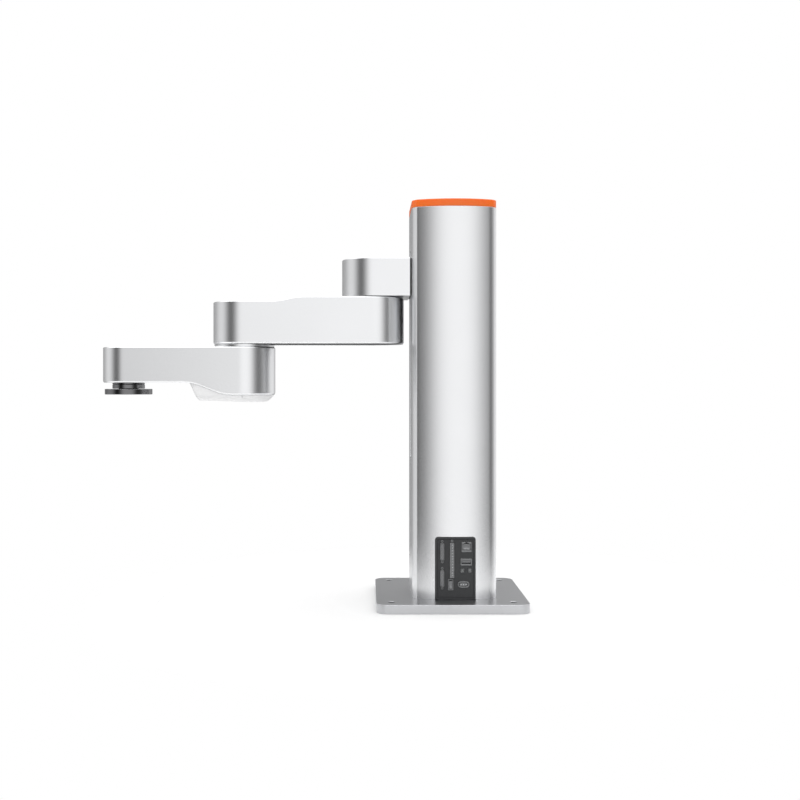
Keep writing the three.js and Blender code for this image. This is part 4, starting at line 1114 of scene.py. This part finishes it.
def motor(name, body, length, up):
    """A square motor: cast end caps, a laminated stack between them, boss, shaft and a plug on its side."""
    low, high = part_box(name)
    x, half = (low.x + high.x) / 2, (high.x - low.x) / 2
    z0, z1 = (low.z, low.z + length) if up else (high.z - length, high.z)
    cap, sheet, edge, valley = 7 * MM, 1.5 * MM, 0.5 * MM, 0.9 * MM
    levels = [(2 * edge, z0, 0), (edge, z0, 0.5), (0, z0 + edge, 1), (0, z0 + cap, 0.5)]
    sheets = int((length - 2 * cap) / sheet)
    step = (length - 2 * cap) / sheets
    for z in [z0 + cap + (length - 2 * cap) * i / sheets for i in range(sheets)]:
        levels += [(valley, z + 0.15 * step, 0), (edge, z + 0.3 * step, 0.6), (edge, z + 0.85 * step, 0.6)]
    levels += [(0, z1 - cap, 0.5), (0, z1 - edge, 1), (edge, z1, 0.5), (2 * edge, z1, 0)]
    outline = rounded_rect(2 * half, 2 * half, 4 * MM)
    case = new(loft, [ring_at(outline, *level) for level in levels], matrix=at(x, 0, 0))
    piece(name + "_case", case, "motor_black", body, [name])
    tip, base, sign = (high.z, z1, 1) if up else (low.z, z0, -1)
    boss_r, shaft_r, boss_top = 11 * MM, 2.5 * MM, base + sign * 1.8 * MM
    corners = [(0, base - sign * 0.2 * MM), (boss_r, base), (boss_r, boss_top), (shaft_r, boss_top),
               (shaft_r, tip - sign * 0.6 * MM), (shaft_r - 0.6 * MM, tip), (0, tip)]
    turned_piece(name + "_shaft", corners, 0.2 * MM, "steel", body, x)
    place = at(x, -half, (z0 if up else z1 - cap) + cap / 2, TOWARDS_FRONT)
    plug = new(slab, rounded_rect(12 * MM, 5 * MM, 0.5 * MM, 2), 0, 2.5 * MM, 0.3 * MM, place)
    piece(name + "_plug", plug, "white_plastic", body)


def motor_plate(name, body, motor_name, up):
    """The plate that a motor hangs from, with its four screws on the side away from the motor."""
    low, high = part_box(name)
    motor_low, motor_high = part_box(motor_name)
    x, z, facing = (motor_low.x + motor_high.x) / 2, high.z if up else low.z, None if up else DOWN
    hole_r, screw_y = 11.4 * MM, 15.5 * MM
    hole = bores([(x, 0, low.z)], [(hole_r, -MM), (hole_r, high.z - low.z + MM)])
    plate = carve(new(block, low, high, 2.0 * MM, 0.5 * MM), hole)
    piece(name + "_plate", plate, "machined_aluminium", body, [name])
    screws(name + "_screws", body, square_spots(x, screw_y, z), 2.2 * MM, facing, 0.7 * MM)


def pulley(name, body, teeth, bore):
    """A toothed pulley with a flange at each end of its teeth."""
    low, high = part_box(name)
    x, radius, flange = (low.x + high.x) / 2, high.y, 0.9 * MM
    rim_shape, hole, bm = circle(radius + 1.2 * MM, 4 * teeth), circle(bore, 4 * teeth), bmesh.new()
    for outer, z0, z1 in ((rim_shape, low.z, low.z + flange),
                          (toothed(radius, teeth, 0.8 * MM), low.z + flange, high.z - flange),
                          (rim_shape, high.z - flange, high.z)):
        frame_prism(bm, outer, hole, z0, z1, 0.15 * MM, at(x, 0, 0))
    piece(name + "_wheel", bm, "machined_aluminium", body, [name], sharp=30)
    return x, high.z


def belt(name, body, near, far, near_r, far_r):
    """A belt round two pulleys with teeth moulded in its inner face."""
    low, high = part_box(name)
    near_x, far_x = [sum(corner.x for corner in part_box(node)) / 2 for node in (near, far)]
    thick, tooth, steps = 1.5 * MM, 0.6 * MM, (72, 30)
    loop = arm(near_x, near_r, far_x, far_r, *steps)

    def inner(inset=0.0):
        tips, roots = loop(inset), loop(inset - tooth)
        return [tips[i] if i // 2 % 2 else roots[i] for i in range(len(tips))]

    outer = arm(near_x, near_r + thick, far_x, far_r + thick, *steps)
    piece(name + "_loop", new(frame_prism, outer, inner, low.z, high.z, 0.15 * MM), "rubber", body, [name],
          sharp=30)


def lift():
    backbone()
    rails()
    guide_blocks()
    ball_screw()
    screw_supports()
    motor("z_motor", "base", length=23.9 * MM, up=False)
    motor_plate("motor_mount", "base", "z_motor", up=False)
    low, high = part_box("carriage_plate")
    middle, screw_z, seat_r, seat = (low.z + high.z) / 2, 15 * MM, 3.4 * MM, 3 * MM
    columns = [side * y for side in (-1, 1) for y in (18 * MM, 38 * MM)]
    spots = [(low.x, y, middle + z) for y in columns for z in (-screw_z, screw_z)]
    seats = bores(spots, [(seat_r, MM), (seat_r, -seat)], TOWARDS_ARMS)
    plate = carve(new(block, low, high, 2 * MM, 0.6 * MM), seats)
    piece("lift_carriage_plate", plate, "machined_aluminium", "carriage", ["carriage_plate"])
    sunk = [(x + seat, y, z) for x, y, z in spots]
    screws("lift_carriage_screws", "carriage", sunk, 3.0 * MM, TOWARDS_ARMS)
    low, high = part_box("carriage_neck")
    place = at(high.x, 0, (low.z + high.z) / 2, TOWARDS_ARMS)
    section = rounded_rect(high.y - low.y, high.z - low.z, 2 * MM)
    neck = new(tube, section, 4 * MM, 0, high.x - low.x, 0.4 * MM, place)
    piece("lift_neck", neck, "machined_aluminium", "carriage", ["carriage_neck"])


# Each of the board's parts: the x and z of its middle, its width, its height and how far it stands up, in mm.
BOARD_PARTS = {
    "black_plastic": [
        (-8, 10, 16, 16, 1.6), (12, 30, 10, 7, 1.5), (-14, 38, 12, 9, 1.5), (14, -6, 7, 9, 1.2),
        (-10, -22, 9, 9, 1.4), (10, -30, 13, 10, 2.2), (-18, -42, 8, 6, 1.2),
    ],
    "white_plastic": [(0, 54, 28, 6, 8), (20, 14, 6, 18, 7), (-6, -54, 22, 6, 8)],
    "machined_aluminium": [(-16, 22, 12, 3, 10), (16, -48, 9, 9, 6)],
}
BOARD_CAPACITORS = ((4, 40), (12, 44), (20, 44), (2, -14), (-20, -8))
TOWARDS_BACK = Matrix(((-1, 0, 0, 0), (0, 0, 1, 0), (0, 1, 0, 0), (0, 0, 0, 1)))


def control_board():
    low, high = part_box("controller_board")
    centre, size = (low + high) / 2, high - low
    place = at(centre.x, low.y, centre.z, TOWARDS_BACK)
    board = new(slab, rounded_rect(size.x, size.z, 2 * MM), 0, size.y, 0.2 * MM, place)
    corners = [(centre.x + i * 26 * MM, high.y, centre.z + j * 58 * MM) for i in (-1, 1) for j in (-1, 1)]
    board = carve(board, bores(corners, [(1.7 * MM, MM), (1.7 * MM, -3 * MM)], TOWARDS_BACK))
    piece("control_board", board, "circuit_board", "base", ["controller_board"])
    for slot, parts in BOARD_PARTS.items():
        bm = bmesh.new()
        for x, z, width, tall, depth in parts:
            outline = rounded_rect(width * MM, tall * MM, 0.5 * MM, 2)
            slab(bm, outline, size.y, size.y + depth * MM, 0.25 * MM, place @ at(x * MM, z * MM, 0))
        piece("board_parts_" + slot, bm, slot, "base")
    bm = bmesh.new()
    for x, z in BOARD_CAPACITORS:
        slab(bm, circle(3.4 * MM, 24), size.y, size.y + 9 * MM, 0.5 * MM, place @ at(x * MM, z * MM, 0))
    piece("board_capacitors", bm, "steel", "base")


def shoulder_drive():
    low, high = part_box("shoulder_reducer")
    radius, top, notch = high.y, high.z, 0.9 * MM
    gear = stepped(0, top, (radius, top - 6 * MM), (radius - notch, top - 7.2 * MM), (radius, low.z + 4 * MM))
    gear[-1:] = [(radius - 3 * MM, low.z), (0, low.z)]
    turned_piece("shoulder_gear", gear, 0.4 * MM, "steel", "carriage", SHOULDER_X, ["shoulder_reducer"])
    screws("shoulder_gear_screws", "carriage", ring_spots(SHOULDER_X, radius - 2 * MM, top, 12), 1.4 * MM)
    low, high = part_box("shoulder_motor")
    radius, top, fin, pitch, slit, steps = high.y, high.z, 1.6 * MM, 2.6 * MM, 1.2 * MM, []
    for i in range(6):
        z = top - 3.4 * MM - pitch * i
        steps += [(radius, z), (radius - fin, z - slit)]
    servo = stepped(0, top, *steps, (radius, low.z))
    turned_piece("shoulder_servo", servo, 0.3 * MM, "motor_black", "carriage", SHOULDER_X, ["shoulder_motor"])
    encoder = stepped(0, top + 1.4 * MM, (15 * MM, top - 0.2 * MM))
    turned_piece("shoulder_encoder", encoder, 0.4 * MM, "connector_grey", "carriage", SHOULDER_X)
    spots = ring_spots(SHOULDER_X, 22 * MM, top, 6)
    screws("shoulder_servo_screws", "carriage", spots, 1.6 * MM, height=0.9 * MM)


def arm_drives():
    motor("elbow_motor", "upper_arm", length=27 * MM, up=True)
    motor_plate("elbow_motor_mount", "upper_arm", "elbow_motor", up=True)
    motor("tool_motor", "forearm", length=38 * MM, up=True)
    motor_plate("tool_motor_mount", "forearm", "tool_motor", up=True)
    motor_bore, motor_r, elbow_r, tool_r = 2.5 * MM + GAP, 13.5 * MM + GAP, 27 * MM + GAP, 20 * MM + GAP
    pulley("elbow_motor_pulley", "elbow_drive", teeth=28, bore=motor_bore)
    pulley("tool_motor_pulley", "tool_drive", teeth=28, bore=motor_bore)
    pulley("tool_pulley", "tool", teeth=42, bore=10 * MM + GAP)
    x, top = pulley("elbow_pulley", "forearm", teeth=56, bore=6 * MM)
    screws("elbow_pulley_screws", "forearm", ring_spots(x, 14 * MM, top, 6), 2.4 * MM, height=0.8 * MM)
    belt("elbow_belt", "upper_arm", "elbow_motor_pulley", "elbow_pulley", motor_r, elbow_r)
    belt("tool_belt", "forearm", "tool_motor_pulley", "tool_pulley", motor_r, tool_r)
    low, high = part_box("elbow_bearing")
    seal_r0, seal_r1 = 27.3 * MM, 28.3 * MM
    for name, r0, r1, drop, slot, replaces in (
            ("elbow_bearing_inner", 22 * MM + GAP, seal_r0, 0, "steel", ["elbow_bearing"]),
            ("elbow_bearing_seal", seal_r0, seal_r1, 0.8 * MM, "rubber", []),
            ("elbow_bearing_outer", seal_r1, high.y, 0, "steel", [])):
        ring = stepped(r0, low.z + drop, (r1, high.z - drop))
        turned_piece(name, ring, 0.3 * MM, slot, "upper_arm", ELBOW_X, replaces, True)
    low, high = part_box("tool_spindle")
    groove = (high.y - 0.6 * MM, high.z - 0.8 * MM)
    shaft = stepped(4 * MM, low.z, (high.y, high.z - 1.4 * MM), groove, (high.y, high.z))
    turned_piece("tool_shaft", shaft, 0.2 * MM, "steel", "tool", TOOL_X, ["tool_spindle"], True)


# ---- stage ----
FLOOR_FADE = 0.16, 0.5  # the radii at which the floor's disc starts to fade and is gone


def stage():
    material = bpy.data.materials.new("pale_floor")
    material.use_nodes = True
    tree = material.node_tree
    shader = tree.nodes["Principled BSDF"]
    shader.inputs["Roughness"].default_value = 0.9
    shader.inputs["Specular IOR Level"].default_value = 0.1
    place = add(tree, "ShaderNodeTexCoord").outputs["Object"]
    colour = mix(tree, noise(tree, place, 3 * MM), (0.77, 0.77, 0.77, 1), (0.79, 0.79, 0.79, 1))
    tree.links.new(colour, shader.inputs["Base Color"])
    reach = add(tree, "ShaderNodeVectorMath", {0: place}, operation="LENGTH").outputs["Value"]
    tree.links.new(scaled(tree, reach, *FLOOR_FADE, 1, 0), shader.inputs["Alpha"])
    radius, steps = 1.0, 96
    bm = bmesh.new()
    bm.faces.new([bm.verts.new((x, y, 0)) for x, y in arc(0, 0, radius, 0, 2 * math.pi, steps)[:-1]])
    mesh = bpy.data.meshes.new("floor")
    bm.to_mesh(mesh)
    bm.free()
    mesh.materials.append(material)
    floor = bpy.data.objects.new("floor", mesh)
    bpy.context.scene.collection.objects.link(floor)


# The studio seen from the object: azimuth from the front in degrees, positive to the right, and radiance.
HORIZON = [
    (-180, 0.3), (-140, 0.4), (-120, 0.45), (-108, 0.65), (-96, 0.78), (-84, 0.8), (-74, 0.7), (-66, 0.5),
    (-58, 0.24), (-52, 0.09), (-44, 0.05), (-38, 0.08), (-32, 0.21), (-26, 0.43), (-19, 0.73), (-12, 0.94),
    (-4, 1.03), (20, 1.03), (27, 0.95), (33, 0.78), (39, 0.53), (45, 0.29), (51, 0.15), (57, 0.11),
    (65, 0.13), (72, 0.25), (82, 0.42), (97, 0.58), (110, 0.85), (140, 0.9), (160, 0.5), (180, 0.3),
]
OVERHEAD, OVERHEAD_EDGE = 2.0, (0.42, 0.75)  # radiance, and the sines of the heights where it comes up
FLOOR_GLOW, FLOOR_EDGE = 1.05, (-40, -24)  # radiance, and the degrees below the horizon where it ends


def studio():
    """A soft studio: a wide light behind the camera, a light at each side with dark gaps between, a dimmer
    back, a pale floor and a large overhead light. The backdrop itself is plain white."""
    world = bpy.data.worlds.new("studio")
    bpy.context.scene.world = world
    world.use_nodes = True
    tree = world.node_tree
    background = tree.nodes["Background"]
    place = add(tree, "ShaderNodeTexCoord").outputs["Generated"]
    split = add(tree, "ShaderNodeSeparateXYZ", {0: place}).outputs
    front = add(tree, "ShaderNodeMath", {0: split["Y"], 1: -1.0}, operation="MULTIPLY").outputs[0]
    azimuth = add(tree, "ShaderNodeMath", {0: split["X"], 1: front}, operation="ARCTAN2").outputs[0]
    ramp = add(tree, "ShaderNodeValToRGB", {0: scaled(tree, azimuth, -math.pi, math.pi, 0, 1)})
    stops = ramp.color_ramp.elements
    for i, (degrees, radiance) in enumerate(HORIZON):
        share = (degrees + 180) / 360
        stop = stops[i] if i < 1 else stops[-1] if i == len(HORIZON) - 1 else stops.new(share)
        stop.position = share
        stop.color = (radiance, radiance, radiance, 1)
    below = scaled(tree, split["Z"], *[math.sin(math.radians(angle)) for angle in FLOOR_EDGE], 0, 1)
    walls = blend_values(tree, below, FLOOR_GLOW, ramp.outputs[0])
    rising = {"Value": split["Z"], "From Min": OVERHEAD_EDGE[0], "From Max": OVERHEAD_EDGE[1]}
    above = add(tree, "ShaderNodeMapRange", rising, interpolation_type="SMOOTHSTEP").outputs["Result"]
    total = blend_values(tree, above, walls, OVERHEAD)
    ray = add(tree, "ShaderNodeLightPath").outputs["Is Camera Ray"]
    tree.links.new(blend_values(tree, ray, total, 1.0), background.inputs["Strength"])
    background.inputs["Color"].default_value = (1, 1, 1, 1)


def blend_values(tree, factor, first, second):
    """A number between two, by a factor."""
    return add(tree, "ShaderNodeMix", {0: factor, 2: first, 3: second}, data_type="FLOAT").outputs[0]


LENS = 49.1
SHIFT_X = 0.042
SHIFT_Y = -0.019
SENSOR = 36
CAMERA = (-0.113, -1.508, 0.2963)


def camera():
    data = bpy.data.cameras.new("camera")
    data.lens = LENS
    data.sensor_width = SENSOR
    data.shift_x = SHIFT_X
    data.shift_y = SHIFT_Y
    made = bpy.data.objects.new("camera", data)
    made.location = CAMERA
    made.rotation_euler = (math.pi / 2, 0, 0)
    bpy.context.scene.collection.objects.link(made)
    bpy.context.scene.camera = made


camera()
stage()
studio()
view = bpy.context.scene.view_settings
view.view_transform = "Standard"
view.look = "None"

foot_plate()
column()
light_ring()
column_cap()
slot_seals()
panel()
signal_port("signal_port_upper")
signal_port("signal_port_lower")
terminal_port()
ethernet_port()
usb_port()
power_inlet()
status_lights()
power_switch()
bracket()
seal_plate()
upper_arm()
forearm()
belly()
hubs()
tool_end()
lift()
control_board()
shoulder_drive()
arm_drives()

slots = {entry["node"]: entry["material_slot"] for entry in frame["record"]["subparts"]}
for name, node in frame["nodes"].items():
    node.data.materials.clear()
    node.data.materials.append(MATERIALS[slots[name]])
